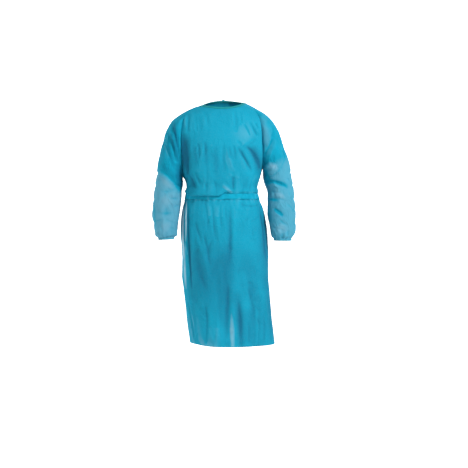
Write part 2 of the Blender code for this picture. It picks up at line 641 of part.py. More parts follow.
def build():
    """Make every piece of the gown."""
    clear_scene()
    gown = bpy.data.collections.new("procedure_gown")
    bpy.context.scene.collection.children.link(gown)
    cloth_piece("front_panel", front_grid(), COLOURS["cloth"], gown)
    cloth_piece("back_panel_left", back_grid("left"), COLOURS["cloth"], gown)
    cloth_piece("back_panel_right", back_grid("right"), COLOURS["cloth"], gown)
    for side in ("left", "right"):
        cloth_piece("sleeve_" + side, sleeve_grid(side), COLOURS["sleeve"], gown, closed=True)
        cloth_piece("cuff_" + side, cuff_grid(side), COLOURS["cuff"], gown, closed=True)
    neck = (0.0, BINDING_END)
    waist = (BELT_TOP, BELT_BOTTOM)
    cloth_piece("neck_binding", strip_grid(neck), COLOURS["binding"], gown, closed=True)
    cloth_piece("waist_belt", strip_grid(waist), COLOURS["belt"], gown, closed=True)
    tie("waist", sum(waist) / 2, WAIST_KNOT, WAIST_TAIL_RINGS, TIE_WIDTH, COLOURS["belt"], gown)
    tie("neck", sum(neck) / 2, NECK_KNOT, NECK_TAIL_RINGS, NECK_TIE_WIDTH, COLOURS["binding"], gown)


build()
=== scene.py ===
"""Looks of the procedure gown: thin spun nonwoven cloth, its creases, seams, belt and ties.

X runs to the wearer's left, Y to the back and Z up, in metres. Every cloth piece is a
grid of points on one body surface or one sleeve, read from short tables of rings, with
creases laid on it as bent strokes, and finished as a thin shell.
"""

import math

import bpy
import numpy as np
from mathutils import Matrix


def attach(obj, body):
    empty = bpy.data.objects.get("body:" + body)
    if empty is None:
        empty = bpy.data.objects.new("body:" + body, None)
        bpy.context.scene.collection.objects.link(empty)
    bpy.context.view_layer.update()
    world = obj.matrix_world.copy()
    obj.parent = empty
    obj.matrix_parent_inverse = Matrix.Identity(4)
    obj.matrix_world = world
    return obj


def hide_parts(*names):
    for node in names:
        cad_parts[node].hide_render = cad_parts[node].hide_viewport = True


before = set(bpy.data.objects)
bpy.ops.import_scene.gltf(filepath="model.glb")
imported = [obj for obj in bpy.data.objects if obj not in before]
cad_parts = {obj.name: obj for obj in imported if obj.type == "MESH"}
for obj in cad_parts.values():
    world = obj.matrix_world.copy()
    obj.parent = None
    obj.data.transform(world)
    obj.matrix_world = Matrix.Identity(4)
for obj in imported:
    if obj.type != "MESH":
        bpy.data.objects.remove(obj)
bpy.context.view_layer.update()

MILLIMETRE = 0.001

# Driving dimensions: WALL is the thickness of the solids, and a lift is how far a piece
# stands off the body's surface
WALL = 0.001
CLOTH_THICKNESS = 0.0005
CUFF_THICKNESS = 0.0007
BINDING_THICKNESS = 0.0004
BELT_THICKNESS = 0.0012
TAIL_THICKNESS = 0.0008
SEAM_GAP = 0.0003
SEAM_TUCK = 0.0005
CUFF_LENGTH = 0.006
TIE_WIDTH = 0.022
NECK_TIE_WIDTH = 0.010
BELT_WIDTH = 0.024
STRIP_LIFT = 0.0016
OVERLAP_LIFT = 0.0008
TAIL_LIFT = 0.004

# Numbers of cells
FRONT_ROWS = 290
FRONT_COLUMNS = 132
BACK_COLUMNS = 74
SLEEVE_ROWS = 190
SLEEVE_COLUMNS_FINE = 124
CUFF_COLUMNS = 272
CUFF_ROWS = 13
STRIP_SECTION = 16
BELT_COLUMNS = 420
BINDING_COLUMNS = 480
BINDING_SECTION = 15
TAIL_COLUMNS_FINE = 9
TAIL_ROWS = 60
KNOT_COLUMNS = 56
KNOT_ROWS = 30
STROKE_STEPS = 10

# Angles round the body, in degrees: 0 is the wearer's left side, -90 the middle of the
# front, 90 the middle of the back
OVERLAP_HALF_ANGLE = 15.0
LAP_EDGE_ANGLE = OVERLAP_HALF_ANGLE + 3.0
LAP_FREE_ANGLE = 42.0
ARMHOLE_ANGLE = 30.0
ARMHOLE_ROUNDNESS = 0.8
SQUARENESS = 0.045
DEPTH_POWER = 1.6

# Fullness of the body's cloth beside the armholes: its depth, and the degrees over
# which it falls away from the armhole's edge
FULLNESS_DEPTH = 0.010
FULLNESS_SPREAD = 17.0

# One row for each ring of the body, neck first, as on the solids
RING_COLUMNS = (
    "right_x", "left_x", "right_z", "left_z", "front_y", "front_z", "back_y", "back_z",
)
BODY_RINGS = np.array([
    (-0.085, 0.101, -0.018, -0.006, -0.078, -0.034, 0.078, 0.012),
    (-0.121, 0.130, -0.026, -0.017, -0.095, -0.056, 0.093, -0.012),
    (-0.158, 0.165, -0.044, -0.035, -0.109, -0.091, 0.104, -0.050),
    (-0.189, 0.194, -0.074, -0.068, -0.121, -0.138, 0.113, -0.102),
    (-0.200, 0.204, -0.125, -0.121, -0.131, -0.190, 0.119, -0.163),
    (-0.197, 0.201, -0.205, -0.202, -0.138, -0.247, 0.123, -0.230),
    (-0.179, 0.188, -0.338, -0.304, -0.141, -0.316, 0.124, -0.312),
    (-0.167, 0.176, -0.361, -0.352, -0.139, -0.360, 0.121, -0.358),
    (-0.159, 0.166, -0.395, -0.395, -0.133, -0.395, 0.116, -0.395),
    (-0.163, 0.167, -0.421, -0.421, -0.128, -0.421, 0.112, -0.421),
    (-0.168, 0.174, -0.447, -0.447, -0.128, -0.447, 0.114, -0.447),
    (-0.177, 0.188, -0.477, -0.477, -0.134, -0.477, 0.122, -0.477),
    (-0.183, 0.200, -0.540, -0.540, -0.143, -0.540, 0.136, -0.540),
    (-0.184, 0.210, -0.610, -0.610, -0.150, -0.610, 0.146, -0.610),
    (-0.181, 0.215, -0.700, -0.700, -0.155, -0.700, 0.152, -0.700),
    (-0.180, 0.214, -0.790, -0.790, -0.157, -0.790, 0.155, -0.790),
    (-0.169, 0.220, -0.890, -0.890, -0.159, -0.890, 0.158, -0.890),
    (-0.156, 0.231, -1.000, -1.000, -0.162, -1.000, 0.162, -1.000),
    (-0.143, 0.243, -1.097, -1.106, -0.166, -1.103, 0.166, -1.101),
])
BINDING_END = 0.42
ARMHOLE_TOP = 1.0
ARMPIT = 6.0
POUCH_TOP = 8.0
BELT_TOP = 9.0
BELT_BOTTOM = 10.0
HEM = 18.0

# Rings between which the creases, gathers, pouch and waves rise and fade
CREASES_FULL = 0.9
CREASES_FADE = 8.4
CREASES_AGAIN = 10.6
GATHERS_FULL = 7.0
POUCH_START = 7.3
POUCH_SMOOTH = 7.5
WAVES_START = 11.0

# Cross sections of each sleeve, shoulder first, as on the solids
SLEEVE_COLUMNS = ("outer_x", "outer_z", "inner_x", "inner_z", "mid_y", "half_y")
SLEEVE_RINGS = {
    "left": np.array([
        (0.130, -0.017, 0.1880, -0.304, 0.000, 0.062),
        (0.170, -0.038, 0.1890, -0.309, 0.000, 0.073),
        (0.210, -0.067, 0.1895, -0.315, 0.000, 0.076),
        (0.242, -0.102, 0.1900, -0.321, 0.000, 0.077),
        (0.266, -0.148, 0.1905, -0.328, -0.001, 0.077),
        (0.288, -0.212, 0.1905, -0.338, -0.003, 0.075),
        (0.306, -0.270, 0.1915, -0.352, -0.006, 0.072),
        (0.320, -0.330, 0.1990, -0.378, -0.010, 0.067),
        (0.329, -0.400, 0.2105, -0.413, -0.015, 0.064),
        (0.335, -0.460, 0.2115, -0.462, -0.022, 0.063),
        (0.338, -0.510, 0.2105, -0.510, -0.032, 0.062),
        (0.338, -0.560, 0.2180, -0.559, -0.043, 0.060),
        (0.336, -0.594, 0.2235, -0.593, -0.050, 0.058),
        (0.3285, -0.614, 0.2290, -0.613, -0.054, 0.050),
        (0.319, -0.6245, 0.2365, -0.6235, -0.057, 0.0405),
        (0.3185, -0.628, 0.2370, -0.627, -0.058, 0.040),
    ]),
    "right": np.array([
        (-0.121, -0.026, -0.1790, -0.338, 0.000, 0.062),
        (-0.158, -0.045, -0.1795, -0.341, 0.000, 0.073),
        (-0.195, -0.066, -0.1795, -0.345, 0.000, 0.076),
        (-0.225, -0.091, -0.1790, -0.349, 0.000, 0.077),
        (-0.252, -0.138, -0.1785, -0.354, -0.001, 0.077),
        (-0.271, -0.200, -0.1775, -0.360, -0.003, 0.075),
        (-0.285, -0.258, -0.1760, -0.368, -0.006, 0.073),
        (-0.296, -0.322, -0.1760, -0.382, -0.010, 0.068),
        (-0.304, -0.388, -0.1800, -0.408, -0.015, 0.065),
        (-0.310, -0.448, -0.1840, -0.452, -0.022, 0.063),
        (-0.315, -0.510, -0.1910, -0.508, -0.032, 0.062),
        (-0.3085, -0.555, -0.1970, -0.552, -0.042, 0.059),
        (-0.303, -0.592, -0.2000, -0.588, -0.049, 0.056),
        (-0.2985, -0.612, -0.2010, -0.608, -0.053, 0.049),
        (-0.287, -0.6215, -0.2125, -0.6175, -0.055, 0.0385),
        (-0.2865, -0.6245, -0.2130, -0.6205, -0.056, 0.038),
    ]),
}
SIDE_SIGN = {"left": 1.0, "right": -1.0}

# Stations down a sleeve between which it leaves the armhole's line, and its creases rise
# and fade
SLEEVE_FREE = 5.0
SLEEVE_CREASES_FULL = 0.8
SLEEVE_CREASES_FADE = 13.2
SLEEVE_CREASES_END = 14.4

# The pouch of cloth that hangs over the belt: share of the way from its top to the belt,
# how far it stands out and how far it drops
POUCH = np.array([
    (0.00, 0.0040, 0.0000),
    (0.30, 0.0130, 0.0060),
    (0.55, 0.0160, 0.0180),
    (0.75, 0.0100, 0.0190),
    (0.90, 0.0034, 0.0010),
    (1.00, 0.0000, 0.0000),
])
# How full the pouch is at angles round the body, and from which fullness it drops
POUCH_FULLNESS = np.array([
    (-180.0, 0.45), (-160.0, 0.60), (-130.0, 1.00), (-97.0, 1.00), (-74.0, 0.25),
    (0.0, 0.30), (60.0, 0.45), (120.0, 0.45), (180.0, 0.45),
])
POUCH_DROPS = (0.5, 1.0)

# Waves round a piece, here and below: how many go round, how high each stands and where
# it starts
SKIRT_WAVES = ((3, 0.0045, 0.6), (5, 0.0040, 2.1), (8, 0.0030, 4.0))

# Gathers at the waist, coarse and fine: how many with the waves that make them uneven,
# their depth and their reach, and the ridges right beside the belt
WAIST_GATHERS = (13, ((3, 1.1, 0.7), (5, 0.6, 0.0)))
GATHER_DEPTH = 0.0035
GATHER_REACH = 0.045
FINE_GATHERS = (41, ((4, 1.7, 1.3), (9, 1.2, 0.0)))
FINE_DEPTH = 0.0021
FINE_REACH = 0.034
FINE_REACH_WAVES = ((6, 0.018, 0.5), (11, 0.010, 2.0))
EDGE_RIDGE = 0.0030
EDGE_RIDGE_PHASE = 1.4
EDGE_RIDGE_PLACE = 0.005
EDGE_RIDGE_WIDTH = 0.006

# Gathers above a cuff, which run on into it: how many, their depth, and the stations
# above the cuff over which they fade, and rise from the seam
CUFF_GATHERS = (17, ((2, 1.3, 0.4), (5, 0.8, 0.0)))
CUFF_GATHER_DEPTH = 0.0030
CUFF_GATHER_STATIONS = 2.6
CUFF_GATHER_START = 0.8

# Cuff, in shares of its radius: how much it narrows downwards, how high its waves stand,
# and how much it narrows at each thread of elastic, as the thread's place and width in
# shares of the cuff's length, and its depth
CUFF_TAPER = 0.05
CUFF_WAVE_TOP = 0.016
CUFF_WAVE_GROWTH = 0.020
CUFF_SECOND_WAVE = 0.008
CUFF_ELASTICS = ((0.35, 0.18, 0.020), (0.70, 0.10, 0.018))

# Overlock stitches round a cuff: pitch, length, radius, how far one sinks in, its sides
# and its girth at places along it
STITCH_PITCH = 0.0016
STITCH_LENGTH = 0.0026
STITCH_RADIUS = 0.00075
STITCH_SINK = 0.35
STITCH_SIDES = 6
STITCH_GIRTHS = np.array([(-0.5, 0.15), (-0.36, 0.8), (0.0, 1.0), (0.36, 0.8), (0.5, 0.15)])

# Seams: how deep and how wide the edge turns in, and the puckers beside it, with the
# length of one, how far they reach and what makes them uneven along the seam
SEAM_DEPTH = 0.0007
SEAM_WIDTH = 0.0016
PUCKER_HEIGHT = 0.0009
PUCKER_LENGTH = 0.017
PUCKER_REACH = 0.008
PUCKER_START = 0.002
PUCKER_DRIFT = 2.0
PUCKER_DRIFT_LENGTH = 0.031
# The fine steps beside a seam, in shares of a panel's width and in stations of a sleeve
SEAM_SHARES = np.array([0.0, 0.002, 0.005, 0.010])
SEAM_SHARE_END = 0.017
SLEEVE_SEAM_STATIONS = (0.0, 0.02, 0.05, 0.10)
SLEEVE_SEAM_END = 0.17

# Belt: how flat its section is, and how it wanders, narrows and ripples
STRIP_FLATNESS = 0.55
STRIP_WANDER = ((3, 1.0, 0.8), (7, 0.6, 2.0), (17, 0.35, 4.0))
STRIP_BREADTH = 0.95
STRIP_PINCH = ((5, 0.05, 1.0), (13, 0.05, 0.0))
STRIP_RIPPLES = (23, ((4, 2.2, 0.0),))
STRIP_RIPPLE_HEIGHT = 0.00035
BELT_WOBBLE = 0.03

# Neck binding: the share of its section that turns over the edge, where it sits, in
# rings, and how far its faces stand off, bulge and pucker
BINDING_TURN = 0.12
BINDING_TOP = -0.015
BINDING_ROUND = 0.02
BINDING_WANDER = ((4, 0.012, 1.0), (9, 0.008, 0.0))
BINDING_LIFT = 0.0013
BINDING_BULGE = 0.0005
BINDING_PUCKERS = (70, ((5, 2.0, 0.0),))
BINDING_PUCKER_HEIGHT = 0.00025

# Knots: width, depth and height, and the shares of their radius: the core, each wrap
# with its slant and its start, and the grooves. Tails: label, the angle where each
# starts, its drift and its curl in degrees, and how many rings a pair hangs down.
WAIST_KNOT = (0.034, 0.014, 0.026)
NECK_KNOT = (0.018, 0.010, 0.012)
KNOT_CORE = 0.80
KNOT_WRAPS = ((0.13, 1.6, 0.5), (0.07, -2.1, 1.2))
KNOT_ROUNDNESS = 0.6
KNOT_GROOVE = 0.05
TAILS = (("tail_right", 92.3, 7.0, 0.6), ("tail_left", 87.7, -5.0, -0.8))
WAIST_TAIL_RINGS = 3.6
NECK_TAIL_RINGS = 2.6
# A tail has this share of its width at the knot and all of it from this share of its
# length on, and creases and twists by these heights
TAIL_PINCH = 0.4
TAIL_PINCH_END = 0.3
TAIL_CREASE = 0.0011
TAIL_TWIST = 0.0018

# Creases, each a bent stroke through three places. Columns, in millimetres: x0, z0, x1,
# z1, x2, z2, height (above zero a ridge, below zero a trough) and half width, and then
# crispness, 2 for a soft trough and near 1 for a sharp line
FRONT_CREASES = np.array([
    (103, -207, 145, -244, 177, -317, -11, 9, 1.6),
    (90, -196, 128, -226, 170, -275, 4, 9, 2),
    (71, -216, 103, -262, 140, -331, -6.5, 7, 1.5),
    (53, -207, 62, -235, 62, -271, -3.5, 6, 1.5),
    (127, -101, 149, -138, 161, -166, -5, 6, 1.4),
    (150, -101, 159, -115, 168, -133, -3, 5, 1.4),
    (100, -112, 116, -132, 130, -165, -2.5, 5, 1.4),
    (62, -46, 67, -97, 67, -152, -2.6, 10, 2),
    (85, -50, 90, -80, 88, -125, -2, 5, 1.6),
    (-60, -37, -60, -110, -60, -190, -0.5, 3, 1.6),
    (-118, -40, -112, -100, -108, -160, -1, 6, 2),
    (-163, -170, -163, -271, -154, -373, -9, 16, 2),
    (-136, -225, -154, -290, -159, -359, -5, 6, 1.4),
    (-128, -170, -140, -235, -146, -300, 3, 6, 1.6),
    (-103, -198, -99, -235, -99, -271, -4.5, 6, 1.5),
    (-72, -190, -70, -225, -74, -262, -2.5, 5, 1.6),
    (-44, -198, -39, -225, -39, -253, 2.5, 6, 1.6),
    (30, -207, 35, -262, 57, -327, 3.5, 7, 1.8),
    (12, -205, 10, -260, 16, -330, -2.5, 8, 2),
    (-62, -244, -62, -330, -60, -428, -1.8, 4, 1.3),
    (-159, -41, -163, -83, -159, -133, 4, 8, 1.7),
    (-145, -60, -148, -100, -150, -150, -4, 7, 1.6),
    (-117, -327, -103, -359, -90, -391, -4, 6, 1.5),
    (53, -340, 55, -377, 53, -409, -5, 6, 1.5),
    (-34, -354, -25, -386, -16, -414, -3, 6, 1.5),
    (103, -373, 99, -396, 94, -419, -2.5, 5, 1.4),
    (140, -363, 131, -391, 122, -419, -2.5, 5, 1.4),
    (-76, -46, -62, -87, -48, -133, -1.4, 9, 2),
    (-100, -60, -95, -100, -82, -150, -1.2, 9, 2),
    (4, -378, 28, -400, 56, -424, 6, 8, 1.7),
    (-148, -330, -128, -372, -110, -402, -3.5, 6, 1.5),
    (-70, -372, -66, -392, -60, -412, -3, 5, 1.4),
    (-149, -458, -150, -610, -132, -860, -8, 6, 1.5),
    (-159, -470, -160, -620, -150, -840, 4, 4.5, 1.5),
    (-131, -630, -103, -731, -67, -869, -3, 18, 2),
    (-112, -600, -78, -710, -45, -850, 3, 12, 1.9),
    (39, -469, 41, -584, 39, -731, -4, 9, 1.7),
    (55, -480, 57, -590, 55, -720, 2.5, 7, 1.8),
    (48, -906, 53, -1021, 48, -1125, 7.5, 9, 1.5),
    (76, -888, 85, -989, 90, -1125, -6.5, 12, 1.8),
    (33, -814, 28, -929, 22, -1067, -5, 10, 1.8),
    (-39, -460, -35, -529, -25, -630, -4, 6, 1.5),
    (-71, -455, -62, -520, -57, -593, -3, 5, 1.5),
    (-2, -460, -2, -524, 7, -593, -3, 5, 1.5),
    (21, -460, 21, -511, 30, -575, -2.5, 5, 1.5),
    (-18, -470, -15, -560, -4, -660, 2.2, 6, 1.6),
    (186, -515, 196, -593, 191, -731, -6.5, 12, 2),
    (154, -906, 163, -998, 159, -1115, 4, 6, 1.4),
    (186, -906, 196, -1021, 191, -1115, -4.5, 7, 1.5),
    (122, -837, 140, -906, 163, -961, -2, 8, 1.8),
    (168, -805, 186, -906, 205, -989, 3.5, 6, 1.4),
    (-117, -906, -99, -1021, -85, -1104, 4.5, 9, 1.6),
    (-71, -897, -62, -998, -67, -1099, -5, 8, 1.5),
    (-21, -929, -16, -1021, -25, -1113, 3.5, 7, 1.5),
    (-145, -906, -131, -1007, -113, -1104, -5.5, 7, 1.5),
    (-35, -621, -57, -676, -44, -741, -3.5, 7, 1.5),
    (-113, -547, -103, -593, -81, -658, -3.5, 6, 1.4),
    (-81, -593, -67, -644, -57, -695, -3.5, 6, 1.4),
    (85, -465, 131, -478, 172, -469, -3, 5, 1.4),
    (131, -547, 154, -534, 182, -511, -2.5, 5, 1.4),
    (98, -760, 112, -830, 118, -905, 2.5, 8, 1.6),
    (-10, -720, 0, -800, 4, -890, 2.5, 9, 1.8),
    (120, -985, 126, -1040, 122, -1110, -3, 7, 1.6),
])
BACK_CREASES = np.array([
    (-120, -110, -150, -190, -165, -300, -8, 10, 1.6),
    (118, -110, 150, -180, 168, -300, -9, 10, 1.6),
    (-70, -190, -100, -260, -130, -340, -5, 8, 1.5),
    (60, -200, 92, -270, 128, -335, -6, 8, 1.5),
    (-45, -60, -55, -120, -60, -175, -3, 7, 1.6),
    (62, -52, 70, -105, 72, -165, -3, 7, 1.6),
    (-98, -80, -104, -120, -118, -160, 2.5, 6, 1.5),
    (20, -150, 30, -220, 45, -300, 3, 8, 1.8),
    (-30, -180, -36, -250, -50, -330, 2.5, 8, 1.8),
    (-105, -345, -92, -375, -80, -405, -4, 6, 1.5),
    (-55, -350, -50, -380, -40, -410, -3, 6, 1.5),
    (40, -345, 38, -378, 36, -410, -4, 6, 1.5),
    (98, -350, 86, -380, 78, -408, -3.5, 6, 1.5),
    (135, -345, 128, -375, 118, -405, -2.5, 5, 1.4),
    (-110, -465, -115, -600, -105, -760, -9, 10, 1.6),
    (115, -465, 122, -610, 118, -790, -8, 10, 1.6),
    (-60, -470, -64, -640, -50, -850, 5, 9, 1.6),
    (66, -465, 75, -620, 70, -800, -5, 8, 1.5),
    (-30, -460, -34, -520, -32, -590, -3, 5, 1.5),
    (44, -460, 44, -520, 50, -580, -3, 5, 1.5),
    (-85, -462, -86, -515, -90, -570, -2.5, 5, 1.5),
    (95, -462, 98, -520, 96, -585, -2.5, 5, 1.5),
    (160, -500, 175, -650, 172, -860, 5, 10, 1.7),
    (-150, -520, -156, -640, -150, -800, -5, 9, 1.7),
    (-90, -860, -80, -990, -75, -1120, -8, 10, 1.6),
    (-120, -840, -112, -980, -108, -1115, 5, 9, 1.5),
    (110, -850, 125, -990, 132, -1120, -9, 11, 1.6),
    (175, -880, 185, -1000, 190, -1115, 6, 10, 1.6),
    (30, -830, 36, -960, 34, -1110, -5, 9, 1.6),
    (-30, -900, -26, -1000, -30, -1110, 3.5, 8, 1.6),
    (-70, -560, -84, -610, -98, -665, -3, 6, 1.4),
    (80, -640, 96, -690, 100, -750, -3, 6, 1.4),
    (60, -860, 80, -905, 92, -965, -3, 6, 1.4),
])
# Creases on the sides of the skirt, seen along X: y in place of x
SIDE_CREASES = np.array([
    (-60, -470, -68, -600, -70, -760, -6, 9, 1.6),
    (40, -465, 48, -590, 50, -740, -6, 9, 1.6),
    (-15, -480, -18, -560, -16, -650, 3, 7, 1.6),
    (75, -520, 84, -640, 86, -790, 4, 9, 1.7),
    (-40, -800, -44, -930, -52, -1090, -6, 10, 1.6),
    (20, -840, 26, -960, 30, -1090, 5, 10, 1.6),
    (74, -830, 80, -960, 88, -1090, -6, 10, 1.6),
    (-90, -820, -96, -960, -104, -1090, 4, 9, 1.6),
    (-50, -640, -34, -690, -20, -750, -2.5, 6, 1.4),
])
SLEEVE_FRONT_CREASES = {
    "left": np.array([
        (237, -110, 229, -175, 186, -262, -7, 8, 1.5),
        (251, -120, 246, -180, 214, -255, 2.5, 7, 1.7),
        (269, -205, 287, -262, 255, -322, -5, 7, 1.4),
        (262, -312, 237, -338, 203, -348, -5.5, 7, 1.4),
        (203, -363, 260, -373, 312, -398, -7.5, 7, 1.4),
        (200, -376, 250, -388, 290, -406, 2.5, 6, 1.6),
        (218, -414, 262, -416, 300, -424, -3, 5, 1.4),
        (216, -450, 256, -445, 294, -456, -5.5, 6, 1.4),
        (232, -484, 256, -500, 280, -520, -8, 7, 1.4),
        (240, -505, 256, -520, 276, -535, 2.5, 5, 1.5),
        (265, -540, 278, -552, 300, -562, -3.5, 5, 1.4),
        (186, -290, 214, -306, 251, -294, 5, 8, 1.6),
        (283, -466, 310, -478, 330, -506, -3.5, 6, 1.4),
        (292, -330, 306, -368, 318, -410, -2.5, 6, 1.5),
        (228, -560, 240, -580, 246, -602, -3, 5, 1.4),
        (296, -580, 300, -596, 298, -612, -3, 5, 1.4),
    ]),
    "right": np.array([
        (-228, -95, -209, -161, -182, -281, -6.5, 8, 1.5),
        (-246, -130, -223, -202, -203, -285, -6.5, 7, 1.4),
        (-238, -118, -214, -190, -193, -285, 2.5, 5, 1.6),
        (-262, -185, -246, -225, -228, -270, -4.5, 6, 1.4),
        (-196, -140, -191, -202, -186, -267, -4.5, 6, 1.5),
        (-258, -330, -214, -366, -177, -402, -6, 8, 1.4),
        (-300, -362, -268, -345, -232, -366, 5, 10, 1.8),
        (-280, -402, -246, -412, -206, -404, -3, 6, 1.4),
        (-240, -436, -214, -444, -190, -440, -3.5, 5, 1.4),
        (-288, -500, -255, -511, -220, -503, -3.2, 7, 1.6),
        (-218, -483, -203, -478, -190, -474, -3.5, 5, 1.4),
        (-306, -543, -287, -543, -262, -536, -4, 5, 1.4),
        (-283, -572, -246, -562, -212, -572, 2.5, 6, 1.6),
        (-266, -462, -250, -486, -246, -512, -1.2, 7, 1.8),
        (-246, -534, -230, -546, -212, -544, -2.5, 5, 1.4),
        (-276, -560, -268, -580, -262, -600, -2.5, 5, 1.4),
    ]),
}
SLEEVE_BACK_CREASES = {
    "left": np.array([
        (222, -100, 212, -170, 196, -265, -6, 9, 1.6),
        (258, -170, 246, -230, 216, -300, -5, 8, 1.5),
        (296, -280, 262, -322, 208, -350, -7, 8, 1.4),
        (312, -348, 268, -368, 212, -374, -7, 8, 1.4),
        (300, -320, 262, -344, 216, -360, 3, 7, 1.7),
        (316, -418, 272, -420, 226, -406, -5, 7, 1.4),
        (318, -476, 286, -470, 240, -480, -4, 6, 1.4),
        (302, -530, 268, -538, 232, -528, -4, 7, 1.5),
        (286, -570, 276, -590, 272, -608, -3, 5, 1.4),
    ]),
    "right": np.array([
        (-214, -90, -206, -165, -190, -262, -6, 9, 1.6),
        (-244, -160, -234, -225, -206, -298, -5, 8, 1.5),
        (-274, -282, -240, -320, -194, -352, -7, 8, 1.4),
        (-286, -350, -246, -362, -196, -372, -6.5, 8, 1.4),
        (-278, -316, -240, -340, -196, -362, 3, 7, 1.7),
        (-292, -412, -250, -420, -202, -410, -5, 7, 1.4),
        (-296, -468, -262, -476, -214, -466, -4, 6, 1.4),
        (-284, -526, -250, -522, -210, -534, -4, 7, 1.5),
        (-258, -566, -252, -586, -250, -600, -3, 5, 1.4),
    ]),
}
# Creases on the outer side of a sleeve, seen along X: y in place of x
SLEEVE_SIDE_CREASES = np.array([
    (-40, -120, -36, -190, -20, -270, -4, 8, 1.6),
    (38, -120, 34, -190, 22, -260, -4, 8, 1.6),
    (-50, -310, -10, -330, 35, -322, -4.5, 7, 1.5),
    (-55, -372, -15, -384, 30, -376, -4, 7, 1.5),
    (-70, -436, -30, -446, 15, -438, -3.5, 7, 1.5),
    (-80, -500, -45, -492, -5, -502, -3.5, 7, 1.5),
    (-85, -560, -55, -552, -20, -560, -3, 6, 1.5),
])

# How strokes fade to their ends, and how many half widths away they still count
STROKE_FADE = 0.7
STROKE_REACH = 4

# How far the body has to face the front, the back or a side, and the sleeve likewise,
# for that side's creases to rise to their full height
BODY_FACING = (0.05, 0.40)
BODY_SIDEWAYS = (0.35, 0.80)
SLEEVE_FACING = (-0.05, 0.45)
SLEEVE_SIDEWAYS = (0.45, 0.85)

# Crumple of the slack cloth: cells round the piece, length of a cell, depth, sharpness.
# Each layer starts a shift away from the last, and its ridges have a narrowness and a
# mean height.
BODY_CRUMPLE = ((11, 0.150, 0.0026, 0.1), (26, 0.085, 0.0016, 0.3), (58, 0.050, 0.0005, 0.4))
SLEEVE_CRUMPLE = ((6, 0.070, 0.0040, 0.2), (13, 0.040, 0.0019, 0.4), (27, 0.022, 0.0006, 0.4))
CRUMPLE_SHIFT_U = 0.37
CRUMPLE_SHIFT_V = 5.3
RIDGE_NARROWNESS = 1.5
RIDGE_MEAN = 0.25
# A slow noise shifts its cells sideways: how far, and the size and number of its own cells
CRUMPLE_DRIFT = 0.35
CRUMPLE_DRIFT_LENGTH = 0.11
CRUMPLE_DRIFT_ANGLE = 0.9
CRUMPLE_DRIFT_CELLS = 97
CRUMPLE_DRIFT_SEED = 50
BODY_CRUMPLE_SEED = 7
SLEEVE_CRUMPLE_SEED = {"left": 17, "right": 27}
# The crumple has this share of its depth on the chest, and all of it below its rings
CHEST_CRUMPLE = 0.40
CHEST_RINGS = (4.0, 6.0)
CRUMPLE_FULL = 2.0

# Small creases scattered over the cloth, where it was folded and handled: how many, the
# ranges of x and z and the slant on each view, and the ranges of their measures. Each
# view's seed is counted from the first.
SMALL_CREASE_SEED = 41
SMALL_CREASES_BODY = 90
SMALL_CREASES_SLEEVE = 46
SMALL_BODY_PLACES = ((-180, 200), (-1070, -200))
SMALL_FRONT_SLANT = 1.45
SMALL_BACK_SLANT = 1.7
SMALL_SLEEVE_X = {"left": (205, 325), "right": (-305, -190)}
SMALL_SLEEVE_Z = (-600, -100)
SMALL_SLEEVE_SLANT = 0.2
SMALL_SLEEVE_SEED = {"left": 10, "right": 20}
SMALL_OUTER_PLACES = ((-90, 50), (-600, -120))
SMALL_OUTER_SLANT = 0.3
SMALL_SLANT_SPREAD = 0.7
SMALL_LENGTHS = (18, 60)
SMALL_BEND = 0.12
SMALL_HEIGHTS = (0.6, 1.9)
SMALL_TROUGH_SHARE = 0.65
SMALL_WIDTHS = (3.0, 5.5)
SMALL_CRISPNESS = (1.2, 1.7)

# Painted light and shade: soft strokes, pale for lit places and for light that shines through the
# cloth, deep for shade, in the columns of the creases, with how pale (below zero, how deep) in
# place of the height
TONE_CRISPNESS = 2.0
FRONT_LIGHT_AND_SHADE = np.array([
    (-158, -450, -158, -540, -160, -640, 1.1, 2.8),
    (-170, -460, -175, -580, -172, -720, 1, 6),
    (-164, -640, -166, -740, -158, -860, 0.6, 5),
    (-158, -660, -144, -760, -137, -880, 0.45, 2.4),
    (-137, -960, -128, -1040, -116, -1150, 0.16, 9),
    (-120, -1080, -70, -1100, -10, -1120, 0.12, 26),
    (44, -930, 47, -1020, 52, -1160, 0.24, 11),
    (42, -860, 44, -930, 46, -1000, 0.08, 6),
    (-10, -450, -4, -520, 0, -620, 0.02, 16),
    (-60, -450, -52, -520, -40, -620, 0.02, 18),
    (6, -388, 30, -405, 54, -424, 0.1, 6),
    (80, -120, 105, -155, 130, -185, 0.07, 36),
    (12, -200, 20, -260, 40, -325, 0.03, 9),
    (-120, -205, -112, -250, -112, -310, -0.42, 9),
    (-70, -190, -64, -240, -68, -300, -0.34, 8),
    (-28, -210, -22, -290, -20, -360, -0.36, 13),
    (32, -205, 40, -235, 43, -265, -0.4, 6),
    (80, -212, 104, -258, 132, -315, -0.42, 6),
    (100, -205, 144, -246, 176, -310, -0.5, 10),
    (-40, -520, -46, -700, -40, -980, -0.3, 80),
    (120, -930, 126, -1030, 130, -1150, -0.26, 34),
    (-147, -450, -146, -620, -130, -900, -0.45, 7),
    (-124, -660, -104, -760, -90, -900, -0.4, 34),
    (30, -480, 36, -600, 34, -760, -0.24, 17),
    (26, -640, 20, -800, 10, -1020, -0.55, 42),
    (-50, -700, -60, -820, -60, -960, -0.25, 30),
    (70, -850, 84, -980, 94, -1150, -0.55, 19),
    (122, -660, 120, -780, 116, -900, -0.3, 34),
    (200, -460, 206, -640, 210, -860, -0.85, 38),
    (208, -780, 222, -940, 238, -1150, -0.7, 26),
    (160, -820, 150, -900, 160, -1020, -0.24, 36),
    (190, -380, 186, -420, 180, -450, -0.5, 18),
    (-164, -150, -166, -240, -158, -340, -1.1, 25),
    (-140, -330, -134, -370, -124, -420, -0.4, 26),
    (140, -205, 160, -265, 176, -335, -0.85, 18),
    (50, -345, 52, -378, 52, -412, -0.22, 8),
])
